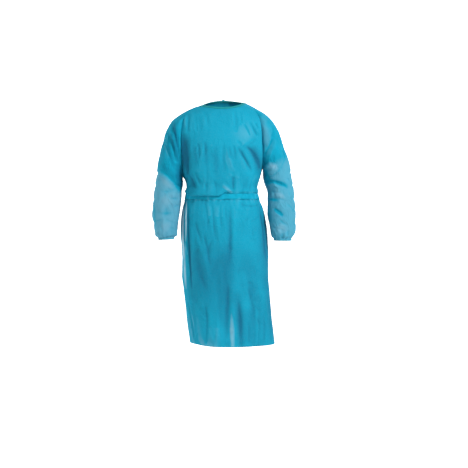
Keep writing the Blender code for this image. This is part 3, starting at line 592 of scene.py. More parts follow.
# Painted light and shade on the sleeves, in the same columns: pale strokes for lit places, deep
# strokes for shade in the folds
SLEEVE_LIGHT_AND_SHADE = {
    "left": np.array([
        (210, -278, 232, -296, 258, -300, 0.55, 13),
        (180, -70, 198, -150, 212, -250, 0.3, 20),
        (240, -405, 268, -430, 286, -430, 0.35, 16),
        (256, -560, 270, -580, 280, -600, 0.35, 22),
        (194, -310, 204, -350, 218, -385, -0.65, 14),
        (208, -470, 214, -520, 222, -560, -0.3, 14),
        (205, -362, 250, -370, 304, -386, -0.55, 8),
        (214, -448, 236, -450, 264, -456, -0.4, 6),
        (236, -490, 256, -505, 280, -522, -0.5, 8),
    ]),
    "right": np.array([
        (-276, -350, -250, -370, -216, -398, 0.24, 15),
        (-262, -430, -246, -450, -226, -470, 0.24, 26),
        (-270, -560, -250, -570, -232, -580, 0.2, 24),
        (-240, -140, -232, -170, -222, -200, 0.26, 3),
        (-264, -180, -250, -220, -234, -262, 0.26, 4),
        (-216, -90, -204, -160, -188, -250, -0.85, 8),
        (-232, -140, -212, -210, -186, -300, -0.8, 8),
        (-248, -170, -230, -240, -212, -310, -0.6, 7),
        (-188, -280, -188, -350, -182, -420, -1, 20),
        (-270, -290, -240, -320, -205, -355, -0.35, 14),
        (-304, -440, -302, -520, -296, -580, -0.3, 6),
        (-262, -505, -240, -511, -214, -504, -0.14, 7),
    ]),
}

# Places in Y between which the front's painted shade and painted light fade round the side seams
PAINTED_SHADE_FADE = (-0.010, 0.080)
PAINTED_LIGHT_FADE = (-0.045, -0.010)

# A sleeve's own tones end behind its middle. Its lower part is paler below a slanted
# line: x and z where the line starts, its slope and how pale the cloth is, and the
# distances from the line between which it turns pale.
SLEEVE_TONE_END = 0.02
PALE_LOWER_SLEEVE = {
    "left": (0.19, -0.31, 0.50, 0.34),
    "right": (-0.283, -0.320, -0.745, 0.46),
}
LOWER_SLEEVE_FADE = (-0.02, 0.03)

# How pale the smaller pieces are
CUFF_TONE = 0.30
STRIP_TONE = 0.05
TAIL_TONE = 0.10
BELT_TONE = -0.10
BELT_TONE_CLOUDS = 0.22
# Stripes of painted highlight and shade that stand for the belt's gathers
BELT_GATHER_LIGHT_AND_SHADE = 0.10
BELT_GATHERS = 31
BELT_CLOUD_CELLS = 44
BELT_CLOUD_SEED = 91

# Painted highlight on the ridges of the folds and painted shade in their troughs: passes of
# blur that part the folds from the form, the height that counts as full, and the shares for
# ridges and troughs
TONE_PASSES = 40
TONE_HEIGHT = 0.0034
RIDGE_HIGHLIGHT_SHARE = 0.05
TROUGH_SHADE_SHARE = {"body": 0.50, "sleeve": 0.20}


def smooth_rows(keys, rows, at):
    """Read a table between its rows on a smooth curve that never overshoots them: a
    cubic through each pair of rows, with the harmonic mean of the slopes at each row."""
    keys = np.asarray(keys, dtype=float)
    rows = np.asarray(rows, dtype=float)
    step = np.diff(keys)
    slope = np.diff(rows, axis=0) / step[:, None]
    tangent = np.zeros_like(rows)
    tangent[0] = slope[0]
    tangent[-1] = slope[-1]
    same_way = slope[:-1] * slope[1:] > 0
    total = np.where(same_way, slope[:-1] + slope[1:], 1.0)
    tangent[1:-1] = np.where(same_way, 2 * slope[:-1] * slope[1:] / total, 0.0)
    at = np.asarray(at, dtype=float)
    cell = np.clip(np.searchsorted(keys, at, side="right") - 1, 0, len(keys) - 2)
    share = ((at - keys[cell]) / step[cell])[..., None]
    width = step[cell][..., None]
    start = (1 + 2 * share) * (1 - share) ** 2
    end = share ** 2 * (3 - 2 * share)
    lead = share * (1 - share) ** 2 * width
    trail = share ** 2 * (share - 1) * width
    return (start * rows[cell] + end * rows[cell + 1]
            + lead * tangent[cell] + trail * tangent[cell + 1])


def read_columns(names, table, at):
    """Columns of a table by name, read at places counted in its rows."""
    row = smooth_rows(np.arange(len(table)), table, at)
    return dict(zip(names, np.moveaxis(row, -1, 0)))


def ease(value, low, high):
    """Rise smoothly from 0 at low to 1 at high: 3s^2 - 2s^3 of the share s of the way."""
    share = np.clip((value - low) / (high - low), 0.0, 1.0)
    return share * share * (3 - 2 * share)


def unit(vectors):
    """Vectors over their lengths."""
    return vectors / np.maximum(np.linalg.norm(vectors, axis=-1, keepdims=True), 1e-9)


def sine_sum(turn, waves):
    """Sum of waves round a piece: depth times the sine of count times turn, plus phase."""
    return sum(depth * np.sin(count * turn + phase) for count, depth, phase in waves)


def uneven(turn, count, waves):
    """Angle that runs count times round a piece, now faster and now slower by waves."""
    return count * turn + sine_sum(turn, waves)


def body_points(angle, ring):
    """Points of the plain body: an ellipse through the ring's four ends, a little square,
    whose height runs from the sides to the front or back with the power of the sine."""
    at = read_columns(RING_COLUMNS, BODY_RINGS, ring)
    turn = np.radians(angle)
    across = np.cos(turn)
    along = np.sin(turn)
    swell = 1 + SQUARENESS * np.sin(2 * turn) ** 2
    half_x = (at["left_x"] - at["right_x"]) / 2
    x = (at["left_x"] + at["right_x"]) / 2 + half_x * across * swell
    y = np.where(along < 0, -at["front_y"], at["back_y"]) * along * swell
    side_z = (at["left_z"] + at["right_z"]) / 2 + (at["left_z"] - at["right_z"]) / 2 * across
    depth = np.abs(along) ** DEPTH_POWER
    end_z = np.where(along < 0, at["front_z"], at["back_z"])
    return np.stack([x, y, side_z + (end_z - side_z) * depth], axis=-1)


def body_normals(angle, ring):
    """Outward directions of the plain body: the cross product of its slopes both ways."""
    angle_step = 0.5
    ring_step = 0.02
    upper = np.clip(ring - ring_step, 0, HEM)
    lower = np.clip(ring + ring_step, 0, HEM)
    down = body_points(angle, lower) - body_points(angle, upper)
    round_body = body_points(angle + angle_step, ring) - body_points(angle - angle_step, ring)
    return unit(np.cross(down, round_body))


def stroke_sum(x, z, strokes):
    """Sum of the strokes at places seen flat: for a stroke of value v and half width w,
    v times exp(-(d / w) ^ crispness) at distance d, fading with the sine to its ends."""
    x = x / MILLIMETRE
    z = z / MILLIMETRE
    total = np.zeros_like(x)
    for x0, z0, x1, z1, x2, z2, value, half_width, crispness in strokes:
        reach = STROKE_REACH * half_width
        near = ((x > min(x0, x1, x2) - reach) & (x < max(x0, x1, x2) + reach)
                & (z > min(z0, z1, z2) - reach) & (z < max(z0, z1, z2) + reach))
        if not near.any():
            continue
        share = np.linspace(0, 1, STROKE_STEPS + 1)
        bend_x = 2 * x1 - (x0 + x2) / 2
        bend_z = 2 * z1 - (z0 + z2) / 2
        line_x = (1 - share) ** 2 * x0 + 2 * share * (1 - share) * bend_x + share ** 2 * x2
        line_z = (1 - share) ** 2 * z0 + 2 * share * (1 - share) * bend_z + share ** 2 * z2
        run_x = np.diff(line_x)[:, None]
        run_z = np.diff(line_z)[:, None]
        away_x = x[near][None, :] - line_x[:-1, None]
        away_z = z[near][None, :] - line_z[:-1, None]
        part = np.clip((away_x * run_x + away_z * run_z) / (run_x ** 2 + run_z ** 2), 0, 1)
        distance = np.hypot(away_x - part * run_x, away_z - part * run_z)
        closest = distance.argmin(axis=0)
        here = np.arange(distance.shape[1])
        along = (closest + part[closest, here]) / STROKE_STEPS
        fade = np.sin(np.pi * np.clip(along, 0, 1)) ** STROKE_FADE
        shape = np.exp(-(distance[closest, here] / half_width) ** crispness)
        total[near] += value * fade * shape
    return total


def tone_sum(x, z, tones):
    """Sum of tone strokes, which all have the same crispness."""
    crispness = np.full((len(tones), 1), TONE_CRISPNESS)
    return stroke_sum(x, z, np.concatenate([tones, crispness], axis=1))


def with_small_creases(creases, seed, count, x_range, z_range, slant):
    """Creases with short strokes scattered over the same view added: each starts anywhere
    in the ranges, runs along a direction near slant and bends a little."""
    dice = np.random.default_rng(SMALL_CREASE_SEED + seed)
    start_x = dice.uniform(*x_range, count)
    start_z = dice.uniform(*z_range, count)
    direction = dice.normal(slant, SMALL_SLANT_SPREAD, count)
    length = dice.uniform(*SMALL_LENGTHS, count)
    bend = dice.normal(0.0, SMALL_BEND, count) * length
    end_x = start_x + length * np.cos(direction)
    end_z = start_z + length * np.sin(direction)
    middle_x = (start_x + end_x) / 2 - bend * np.sin(direction)
    middle_z = (start_z + end_z) / 2 + bend * np.cos(direction)
    height = dice.uniform(*SMALL_HEIGHTS, count)
    height *= np.where(dice.random(count) < SMALL_TROUGH_SHARE, -1, 1)
    width = dice.uniform(*SMALL_WIDTHS, count)
    crisp = dice.uniform(*SMALL_CRISPNESS, count)
    small = np.stack([start_x, start_z, middle_x, middle_z, end_x, end_z, height, width, crisp],
                     axis=-1)
    return np.concatenate([creases, small])


def lattice_noise(u, v, cells_round, seed):
    """Smooth unevenness between about -1 and 1: a random slope at each whole number of u
    and v, and between them the slopes' planes blended with 6s^5 - 15s^4 + 10s^3. It
    closes on itself after cells_round steps of u and cells_down steps of v."""
    cells_down = 128
    turn = np.random.default_rng(seed).uniform(0, 2 * math.pi, (cells_round, cells_down))
    cell_u = np.floor(u).astype(int)
    cell_v = np.floor(v).astype(int)
    share_u = u - cell_u
    share_v = v - cell_v

    def plane(step_u, step_v):
        slope = turn[(cell_u + step_u) % cells_round, (cell_v + step_v) % cells_down]
        return np.cos(slope) * (share_u - step_u) + np.sin(slope) * (share_v - step_v)

    blend_u = share_u ** 3 * (share_u * (6 * share_u - 15) + 10)
    blend_v = share_v ** 3 * (share_v * (6 * share_v - 15) + 10)
    upper = plane(0, 0) * (1 - blend_u) + plane(1, 0) * blend_u
    lower = plane(0, 1) * (1 - blend_u) + plane(1, 1) * blend_u
    full_height = 1.6
    return full_height * (upper * (1 - blend_v) + lower * blend_v)


def crumple(turn, down, layers, seed):
    """Unevenness of slack cloth at several sizes, each with its number of cells round the
    piece, the length of a cell down it, a depth and a share of sharpness: that share of
    the height is 1 - |noise| cubed, which stands in narrow ridges. A slow noise of its
    own shifts the cells sideways."""
    turn, down = np.broadcast_arrays(turn, down)
    drift = CRUMPLE_DRIFT * lattice_noise(
        down / CRUMPLE_DRIFT_LENGTH, turn / CRUMPLE_DRIFT_ANGLE, CRUMPLE_DRIFT_CELLS,
        seed + CRUMPLE_DRIFT_SEED)
    total = np.zeros(turn.shape)
    for number, (cells_round, cell_length, depth, sharpness) in enumerate(layers):
        u = turn / (2 * math.pi) * cells_round + CRUMPLE_SHIFT_U * number
        v = down / cell_length + CRUMPLE_SHIFT_V
        smooth = lattice_noise(u + drift, v, cells_round, seed + number)
        ridge = (1 - np.minimum(np.abs(smooth) * RIDGE_NARROWNESS, 1)) ** 3
        total += depth * ((1 - sharpness) * smooth + sharpness * (ridge - RIDGE_MEAN))
    return total


def edge_angles(rows):
    """Angle between each panel's side edge and the side seam: 0 but in the armhole, where
    it is the armhole's angle times a power of the sine."""
    share = np.clip((rows - ARMHOLE_TOP) / (ARMPIT - ARMHOLE_TOP), 0, 1)
    step = np.arccos(1 - 2 * share)
    return ARMHOLE_ANGLE * np.abs(np.sin(step)) ** ARMHOLE_ROUNDNESS


def armhole_fullness(angle, ring):
    """How far the cloth beside an armhole stands forwards or backwards of the plain body:
    a bell over the angle from the armhole's edge times a sine over its height."""
    away = np.degrees(np.arccos(np.clip(np.abs(np.cos(np.radians(angle))), 0, 1)))
    away = np.maximum(away - edge_angles(ring), 0)
    share = np.clip((ring - ARMHOLE_TOP) / (ARMPIT - ARMHOLE_TOP), 0, 1)
    bell = np.exp(-(away / FULLNESS_SPREAD) ** 2) * np.sin(np.pi * share)
    return FULLNESS_DEPTH * bell * np.sign(np.sin(np.radians(angle)))


def pouch_fullness(angle):
    """How full the pouch is at an angle, read from its table."""
    wrapped = (angle + 180) % 360 - 180
    return smooth_rows(POUCH_FULLNESS[:, 0], POUCH_FULLNESS[:, 1:], wrapped)[..., 0]


def fold_highlight_and_shade(heights, piece, closed=False):
    """Painted highlight on ridges and painted shade in troughs: how far each height stands
    over the same grid after many passes of a 1-2-1 average both ways."""
    blurred = heights
    for _ in range(TONE_PASSES):
        padded = np.pad(blurred, ((1, 1), (0, 0)), mode="edge")
        blurred = (padded[:-2] + 2 * padded[1:-1] + padded[2:]) / 4
        padded = np.pad(blurred, ((0, 0), (1, 1)), mode="wrap" if closed else "edge")
        blurred = (padded[:, :-2] + 2 * padded[:, 1:-1] + padded[:, 2:]) / 4
    # Above the blurred form the share is a painted highlight, below it painted shade
    share = np.clip((heights - blurred) / TONE_HEIGHT, -1, 1)
    return np.where(share > 0, RIDGE_HIGHLIGHT_SHARE, TROUGH_SHADE_SHARE[piece]) * share


def under_belt(ring):
    """1 under the belt, falling to 0 over the rings beside it."""
    return ease(ring, CREASES_FADE, BELT_TOP) * (1 - ease(ring, BELT_BOTTOM, CREASES_AGAIN))


def body_creases(points, turn):
    """Strokes on the front, the back and the sides, each where the body faces that way."""
    x, y, z = np.moveaxis(points, -1, 0)
    facing = np.sin(turn)
    front = with_small_creases(
        FRONT_CREASES, 0, SMALL_CREASES_BODY, *SMALL_BODY_PLACES, SMALL_FRONT_SLANT)
    back = with_small_creases(
        BACK_CREASES, 1, SMALL_CREASES_BODY, *SMALL_BODY_PLACES, SMALL_BACK_SLANT)
    return MILLIMETRE * (
        stroke_sum(x, z, front) * ease(-facing, *BODY_FACING)
        + stroke_sum(x, z, back) * ease(facing, *BODY_FACING)
        + stroke_sum(y, z, SIDE_CREASES) * ease(np.abs(np.cos(turn)), *BODY_SIDEWAYS))


def troughs(turn):
    """Gathers seen from outside: 1 in each trough and 0 on each crest."""
    return 0.5 + 0.5 * np.cos(turn)


def waist_gathers(z, turn):
    """Coarse and fine troughs at the belt, which die out with the distance from it, and
    ridges in a narrow bell right beside it."""
    belt_z = BODY_RINGS[[int(BELT_TOP), int(BELT_BOTTOM)], RING_COLUMNS.index("front_z")].mean()
    from_belt = np.maximum(np.abs(z - belt_z) - BELT_WIDTH / 2, 0)
    coarse = uneven(turn, *WAIST_GATHERS)
    fine = uneven(turn, *FINE_GATHERS)
    fine_reach = FINE_REACH + sine_sum(turn, FINE_REACH_WAVES)
    beside_belt = np.exp(-((from_belt - EDGE_RIDGE_PLACE) / EDGE_RIDGE_WIDTH) ** 2)
    return (EDGE_RIDGE * troughs(fine + EDGE_RIDGE_PHASE) * beside_belt
            - GATHER_DEPTH * troughs(coarse) * np.exp(-from_belt / GATHER_REACH)
            - FINE_DEPTH * troughs(fine) * np.exp(-from_belt / fine_reach))


def body_relief(points, angle, ring):
    """Height of the creases, gathers, waves and crumple over the plain body, each held
    back where the cloth is bound, belted or hangs in the pouch."""
    z = points[..., 2]
    turn = np.radians(angle)
    free = 1 - under_belt(ring)
    in_pouch = pouch_fullness(angle) * ease(ring, POUCH_SMOOTH, POUCH_TOP) * (ring < BELT_TOP)
    creases = body_creases(points, turn) * ease(ring, BINDING_END, CREASES_FULL) * free
    gathers = waist_gathers(z, turn) * ease(ring, ARMPIT, GATHERS_FULL) * (1 - in_pouch)
    waves = sum(depth * np.cos(count * turn + phase) for count, depth, phase in SKIRT_WAVES)
    slack = crumple(turn, z, BODY_CRUMPLE, BODY_CRUMPLE_SEED)
    slack *= ease(ring, CREASES_FULL, CRUMPLE_FULL) * free
    slack *= CHEST_CRUMPLE + (1 - CHEST_CRUMPLE) * ease(ring, *CHEST_RINGS)
    return creases + gathers + waves * ease(ring, WAVES_START, HEM) + slack


def front_light_and_shade(points):
    """Painted light and shade laid on the front panel, which run on round the side seams and fade
    there.
    """
    x, y, z = np.moveaxis(points, -1, 0)
    # Pale strokes are painted light, deep strokes painted shade
    tone = tone_sum(x, z, FRONT_LIGHT_AND_SHADE)
    fade = np.where(tone > 0, ease(y, *PAINTED_LIGHT_FADE), ease(y, *PAINTED_SHADE_FADE))
    return tone * (1 - fade)


def body_heights(angle, ring):
    """Relief of the body at angles and rings."""
    angle, ring = np.broadcast_arrays(np.asarray(angle, float), np.asarray(ring, float))
    return body_relief(body_points(angle, ring), angle, ring)


def cloth(angle, ring, lift=0.0):
    """Points of the finished body surface, moved out by lift: the plain body, its relief
    along the normal, and the pouch outwards and down."""
    angle, ring = np.broadcast_arrays(np.asarray(angle, float), np.asarray(ring, float))
    base = body_points(angle, ring)
    out = body_normals(angle, ring)
    points = base + out * (body_relief(base, angle, ring) + lift)[..., None]
    share = np.clip((ring - POUCH_TOP) / (BELT_TOP - POUCH_TOP), 0, 1)
    pouch = smooth_rows(POUCH[:, 0], POUCH[:, 1:], share)
    rise = ease(ring, POUCH_START, POUCH_TOP)
    inside = np.where(ring < POUCH_TOP, rise, 1.0) * (ring < BELT_TOP)
    full = pouch_fullness(angle)
    flat = unit(out * np.array([1, 1, 0]))
    points = points + flat * (pouch[..., 0] * full * inside)[..., None]
    points[..., 2] -= pouch[..., 1] * ease(full, *POUCH_DROPS) * inside
    points[..., 1] += armhole_fullness(angle, ring)
    return points


def taut(angle, ring, lift):
    """Points over the plain body, for what is pulled tight round it."""
    angle, ring = np.broadcast_arrays(np.asarray(angle, float), np.asarray(ring, float))
    return body_points(angle, ring) + body_normals(angle, ring) * np.asarray(lift)[..., None]


def lap_lift(angle):
    """How far the lapping backs part from the body surface, most at the middle."""
    away = np.abs(np.asarray(angle) - 90)
    return OVERLAP_LIFT * (1 - ease(away, LAP_EDGE_ANGLE, LAP_FREE_ANGLE))


def even_rings(cells):
    """Rings from the neck to the hem at equal lengths down the middle of the front."""
    fine = np.linspace(0, HEM, 2000)
    line = body_points(np.full_like(fine, -90.0), fine)
    length = np.concatenate([[0], np.cumsum(np.linalg.norm(np.diff(line, axis=0), axis=1))])
    return np.interp(np.linspace(0, length[-1], cells + 1), length, fine)


def seam_dense(cells):
    """Shares across a panel, with three fine steps beside each edge for the seam."""
    inner = np.linspace(SEAM_SHARE_END, 1 - SEAM_SHARE_END, cells + 1 - 2 * len(SEAM_SHARES))
    return np.concatenate([SEAM_SHARES, inner, 1 - SEAM_SHARES[::-1]])


def roll_in(points, seam_distance, along, out):
    """Turn a seam's edge inwards over its last millimetres and pucker the cloth beside
    it: depth falls off with distance, and the puckers are a cosine along the seam."""
    depth = SEAM_DEPTH * np.exp(-(seam_distance / SEAM_WIDTH) ** 2)
    ripple = np.cos(2 * math.pi * along / PUCKER_LENGTH
                    + PUCKER_DRIFT * np.sin(along / PUCKER_DRIFT_LENGTH))
    beside = (np.exp(-seam_distance / PUCKER_REACH)
              * (1 - np.exp(-(seam_distance / PUCKER_START) ** 2)))
    return points + out * (PUCKER_HEIGHT * ripple * beside - depth)[..., None]


def grid_normals(points, closed):
    """Outward directions of a grid of points: down its rows, then along them."""
    down = np.gradient(points, axis=0)
    if closed:
        along = np.roll(points, -1, axis=1) - np.roll(points, 1, axis=1)
    else:
        along = np.gradient(points, axis=1)
    return unit(np.cross(down, along))


def row_lengths(points):
    """Distance along each row from its first column, in metres."""
    steps = np.linalg.norm(np.diff(points, axis=1), axis=-1)
    return np.concatenate([np.zeros((len(points), 1)), np.cumsum(steps, axis=1)], axis=1)


def column_lengths(points):
    """Distance down each column from its first row, in metres."""
    steps = np.linalg.norm(np.diff(points, axis=0), axis=-1)
    return np.concatenate([np.zeros((1, points.shape[1])), np.cumsum(steps, axis=0)], axis=0)


def front_grid():
    """Front panel: angles from the right side seam to the left one at every ring."""
    rows = even_rings(FRONT_ROWS)
    edge = edge_angles(rows)[:, None]
    across = seam_dense(FRONT_COLUMNS)[None, :]
    angles = (-180 + edge) + (180 - 2 * edge) * across
    points = cloth(angles, rows[:, None])
    lengths = row_lengths(points)
    to_seam = np.minimum(lengths, lengths[:, -1:] - lengths)
    # Painted highlight and shade of the folds
    tone = fold_highlight_and_shade(body_heights(angles, rows[:, None]), "body")
    out = grid_normals(points, False)
    return roll_in(points, to_seam, column_lengths(points), out), tone


def back_grid(side):
    """Back panel: angles from its side seam past the middle, over or under the other."""
    rows = even_rings(FRONT_ROWS)
    edge = edge_angles(rows)[:, None]
    across = seam_dense(BACK_COLUMNS)[None, :]
    from_seam = edge + (90 + OVERLAP_HALF_ANGLE - edge) * across
    angles = from_seam if side == "left" else 180 - from_seam
    sign = SIDE_SIGN[side]
    points = cloth(angles, rows[:, None], sign * lap_lift(angles))
    out = sign * grid_normals(points, False)
    points = roll_in(points, row_lengths(points), column_lengths(points), out)
    # Painted highlight and shade of the folds
    tone = fold_highlight_and_shade(body_heights(angles, rows[:, None]), "body")
    return (points, tone) if side == "left" else (points[:, ::-1], tone[:, ::-1])


def armhole_ring(side, cells):
    """Closed ring of points round an armhole: shoulder, front, armpit, back."""
    steps = np.linspace(0, math.pi, cells + 1)
    rows = ARMHOLE_TOP + (ARMPIT - ARMHOLE_TOP) * (1 - np.cos(steps)) / 2
    edge = edge_angles(rows)
    front = -edge if side == "left" else -180 + edge
    back = edge if side == "left" else 180 - edge
    ring = np.concatenate([cloth(front, rows), cloth(back, rows)[-2:0:-1]])
    ring[:, 0] -= SIDE_SIGN[side] * SEAM_TUCK
    return ring


def sleeve_axes(side, station):
    """Middle of the sleeve's rings, and their half axes outwards and forwards."""
    at = read_columns(SLEEVE_COLUMNS, SLEEVE_RINGS[side], station)
    outer = np.stack([at["outer_x"], at["mid_y"], at["outer_z"]], axis=-1)
    inner = np.stack([at["inner_x"], at["mid_y"], at["inner_z"]], axis=-1)
    forward = at["half_y"][..., None] * np.array([0.0, -1.0, 0.0])
    return (outer + inner) / 2, (outer - inner) / 2, forward


def sleeve_relief(side, points, turn, station):
    """Height of a sleeve's creases: front, back and outer strokes, each where the sleeve
    faces that way, its crumple, and the gathers that fan out from the cuff."""
    x, y, z = np.moveaxis(points, -1, 0)
    facing = np.sin(turn)[None, :]
    outward = np.cos(turn)[None, :]
    seed = SMALL_SLEEVE_SEED[side]
    slant = SMALL_SLEEVE_SLANT * SIDE_SIGN[side]
    places = (SMALL_SLEEVE_X[side], SMALL_SLEEVE_Z)
    front = with_small_creases(
        SLEEVE_FRONT_CREASES[side], seed, SMALL_CREASES_SLEEVE, *places, slant)
    back = with_small_creases(
        SLEEVE_BACK_CREASES[side], seed + 1, SMALL_CREASES_SLEEVE, *places, -slant)
    outer = with_small_creases(SLEEVE_SIDE_CREASES, seed + 2, SMALL_CREASES_SLEEVE // 2,
                               *SMALL_OUTER_PLACES, SMALL_OUTER_SLANT)
    heights = MILLIMETRE * (stroke_sum(x, z, front) * ease(facing, *SLEEVE_FACING)
                            + stroke_sum(x, z, back) * ease(-facing, *SLEEVE_FACING)
                            + stroke_sum(y, z, outer) * ease(outward, *SLEEVE_SIDEWAYS))
    heights += crumple(turn[None, :], z, SLEEVE_CRUMPLE, SLEEVE_CRUMPLE_SEED[side])
    free = (ease(station, 0.0, SLEEVE_CREASES_FULL)
            * (1 - ease(station, SLEEVE_CREASES_FADE, SLEEVE_CREASES_END)))
    above_cuff = np.maximum(len(SLEEVE_RINGS[side]) - 1 - station, 0)[:, None]
    gathers = (-CUFF_GATHER_DEPTH * (1 - troughs(uneven(turn, *CUFF_GATHERS)))
               * np.exp(-(above_cuff / CUFF_GATHER_STATIONS) ** 2)
               * ease(above_cuff, 0.0, CUFF_GATHER_START))
    return heights * free[:, None] + gathers


def sleeve_grid(side):
    """Sleeve: ellipses of the table, with the first bent onto the armhole, then creased
    along its own normal."""
    half = SLEEVE_COLUMNS_FINE // 2
    turn = math.pi * np.arange(2 * half) / half
    last = len(SLEEVE_RINGS[side]) - 1
    below_seam = np.linspace(SLEEVE_SEAM_END, last, SLEEVE_ROWS - 3)
    station = np.concatenate([SLEEVE_SEAM_STATIONS, below_seam])
    middle, across, forward = sleeve_axes(side, station)
    plain = (middle[:, None] + across[:, None] * np.cos(turn)[None, :, None]
             + forward[:, None] * np.sin(turn)[None, :, None])
    onto_body = armhole_ring(side, half) - plain[0]
    hold = (1 - ease(station, 0.0, SLEEVE_FREE))[:, None, None]
    points = plain + onto_body * hold
    out = grid_normals(points, True) * -SIDE_SIGN[side]
    relief = sleeve_relief(side, points, turn, station)
    # Painted highlight and shade of the folds
    tone = fold_highlight_and_shade(relief, "sleeve", closed=True)
    points = points + out * relief[..., None]
    around = row_lengths(np.concatenate([points, points[:, :1]], axis=1))[:, :-1]
    points = roll_in(points, column_lengths(points), around, out)
    return (points, tone) if side == "right" else (points[:, ::-1], tone[:, ::-1])


def cuff_grid(side):
    """Gathered elastic hem: a ring that narrows downwards, with a cosine of gathers that
    grow towards its opening, and two bells of narrowing where the elastic pulls."""
    last = len(SLEEVE_RINGS[side]) - 1
    middles, across, forward = sleeve_axes(side, np.array([last - 1, last]))
    down = unit(middles[1] - middles[0])
    turn = 2 * math.pi * np.arange(CUFF_COLUMNS) / CUFF_COLUMNS
    rows = np.linspace(0, 1, CUFF_ROWS)[:, None]
    fan = uneven(turn, *CUFF_GATHERS)
    gather = ((CUFF_WAVE_TOP + CUFF_WAVE_GROWTH * rows) * np.cos(fan)
              + CUFF_SECOND_WAVE * rows * np.cos(2 * fan + 1.0))
    pulled = sum(depth * np.exp(-((rows - place) / width) ** 2)
                 for place, width, depth in CUFF_ELASTICS)
    wave = 1 - CUFF_TAPER * rows - pulled + gather
    ring = across[1] * np.cos(turn)[:, None] + forward[1] * np.sin(turn)[:, None]
    start = middles[1] + down * (2 * SEAM_GAP)
    points = start + ring[None] * wave[..., None] + down * (rows * CUFF_LENGTH)[..., None]
    return points if side == "right" else points[:, ::-1]


def folded_strip(ring_top, ring_bottom, columns, thickness, wobble):
    """Strip folded on itself round the body: a flat oval section of the given thickness
    between two rings, carried round the plain body. It wanders up and down, narrows here
    and there and ripples, each by sines of the angle."""
    angle = np.linspace(-180, 180, columns, endpoint=False)[None, :]
    turn = np.radians(angle)
    step = 2 * math.pi * np.arange(STRIP_SECTION)[:, None] / STRIP_SECTION
    across = np.sign(np.cos(step)) * np.abs(np.cos(step)) ** STRIP_FLATNESS
    depth = np.sign(np.sin(step)) * np.abs(np.sin(step)) ** STRIP_FLATNESS
    wander = wobble * sine_sum(turn, STRIP_WANDER)
    pinch = STRIP_BREADTH - sine_sum(turn, STRIP_PINCH)
    middle = (ring_top + ring_bottom) / 2
    ring = middle + (ring_bottom - ring_top) / 2 * across * pinch + wander
    ripple = STRIP_RIPPLE_HEIGHT * np.sin(uneven(turn, *STRIP_RIPPLES)) * np.cos(1.5 * across)
    lift = STRIP_LIFT + lap_lift(angle) + ripple + thickness / 2 * depth
    return taut(angle, ring, lift)


def binding_grid():
    """Binding folded over the neck edge: a section that runs up the outside, round the
    edge and down the inside, carried round the neck. Its faces bulge by a sine and
    pucker, and its lower edge wanders, by sines of the angle."""
    angle = np.linspace(-180, 180, BINDING_COLUMNS, endpoint=False)[None, :]
    turn = np.radians(angle)
    share = np.linspace(-1, 1, BINDING_SECTION)[:, None]
    height = np.clip((np.abs(share) - BINDING_TURN) / (1 - BINDING_TURN), 0, 1)
    round_top = np.clip(share / BINDING_TURN, -1, 1)
    pucker = np.sin(uneven(turn, *BINDING_PUCKERS)) * ease(height, 0.2, 0.9)
    bulge = BINDING_BULGE * np.sin(math.pi * height)
    lift = (lap_lift(angle) / 2 - round_top * (BINDING_LIFT + bulge)
            + BINDING_PUCKER_HEIGHT * pucker)
    edge = sine_sum(turn, BINDING_WANDER)
    ring = BINDING_TOP + BINDING_ROUND * np.abs(round_top) + (BINDING_END + edge) * height
    return taut(angle, ring, lift)


def tail_grid(middle_angle, drift, rings, width, near_lift, far_lift, curl):
    """Hanging tail of a tie: a narrow strip over the back, pinched at its knot, that
    curls and creases lengthwise by sines of its share."""
    share = np.linspace(0, 1, len(rings))
    free = ease(share, 0.0, TAIL_PINCH_END)
    centre = middle_angle + drift * ease(share, 0, 1) + curl * np.sin(2 * math.pi * share) * share
    lift = near_lift + (far_lift - near_lift) * free
    spine = cloth(centre, rings, lift)
    sideways = unit(cloth(centre + 2, rings, lift) - cloth(centre - 2, rings, lift))
    out = body_normals(centre, rings)
    across = np.linspace(-0.5, 0.5, TAIL_COLUMNS_FINE)[None, :]
    spread = width * (TAIL_PINCH + (1 - TAIL_PINCH) * free)
    fading = (1 - 0.5 * ease(share, 0, 0.5))[:, None]
    crease = TAIL_CREASE * np.cos(4 * math.pi * across + 0.6) * fading
    twist = TAIL_TWIST * np.sin(9 * share + 2.0)[:, None] * across
    return (spine[:, None] + sideways[:, None] * (across * spread[:, None])[..., None]
            + out[:, None] * (crease + twist)[..., None])


def knot_grid(centre, size):
    """Knot of a wrapped strip: an ellipsoid whose radius carries three slanted wraps one
    way and three the other, each rounded, with grooves between them."""
    turn = 2 * math.pi * np.arange(KNOT_COLUMNS)[None, :] / KNOT_COLUMNS
    tilt = np.linspace(-math.pi / 2, math.pi / 2, KNOT_ROWS)[:, None]
    wraps = sum(depth * np.abs(np.sin(1.5 * turn + slant * tilt + start)) ** KNOT_ROUNDNESS
                for depth, slant, start in KNOT_WRAPS)
    groove = np.cos(tilt) ** 8 * np.abs(np.cos(3 * turn)) ** 3
    radius = KNOT_CORE + wraps - KNOT_GROOVE * groove
    shape = np.stack([np.cos(tilt) * np.cos(turn), np.cos(tilt) * np.sin(turn),
                      np.sin(tilt) + 0 * turn], axis=-1)
    return centre + shape * radius[..., None] * np.array(size) / 2


def mesh_object(name, points, faces):
    """Smooth object from points and faces, with nothing else put on it."""
    mesh = bpy.data.meshes.new(name)
    mesh.from_pydata(points.reshape(-1, 3).tolist(), [], faces)
    mesh.shade_smooth()
    piece = bpy.data.objects.new(name, mesh)
    bpy.context.scene.collection.objects.link(piece)
    return piece


def cell_corners(grid):
    """The four corners of every cell of a grid, in order round the cell."""
    return [grid[:-1, :-1], grid[1:, :-1], grid[1:, 1:], grid[:-1, 1:]]


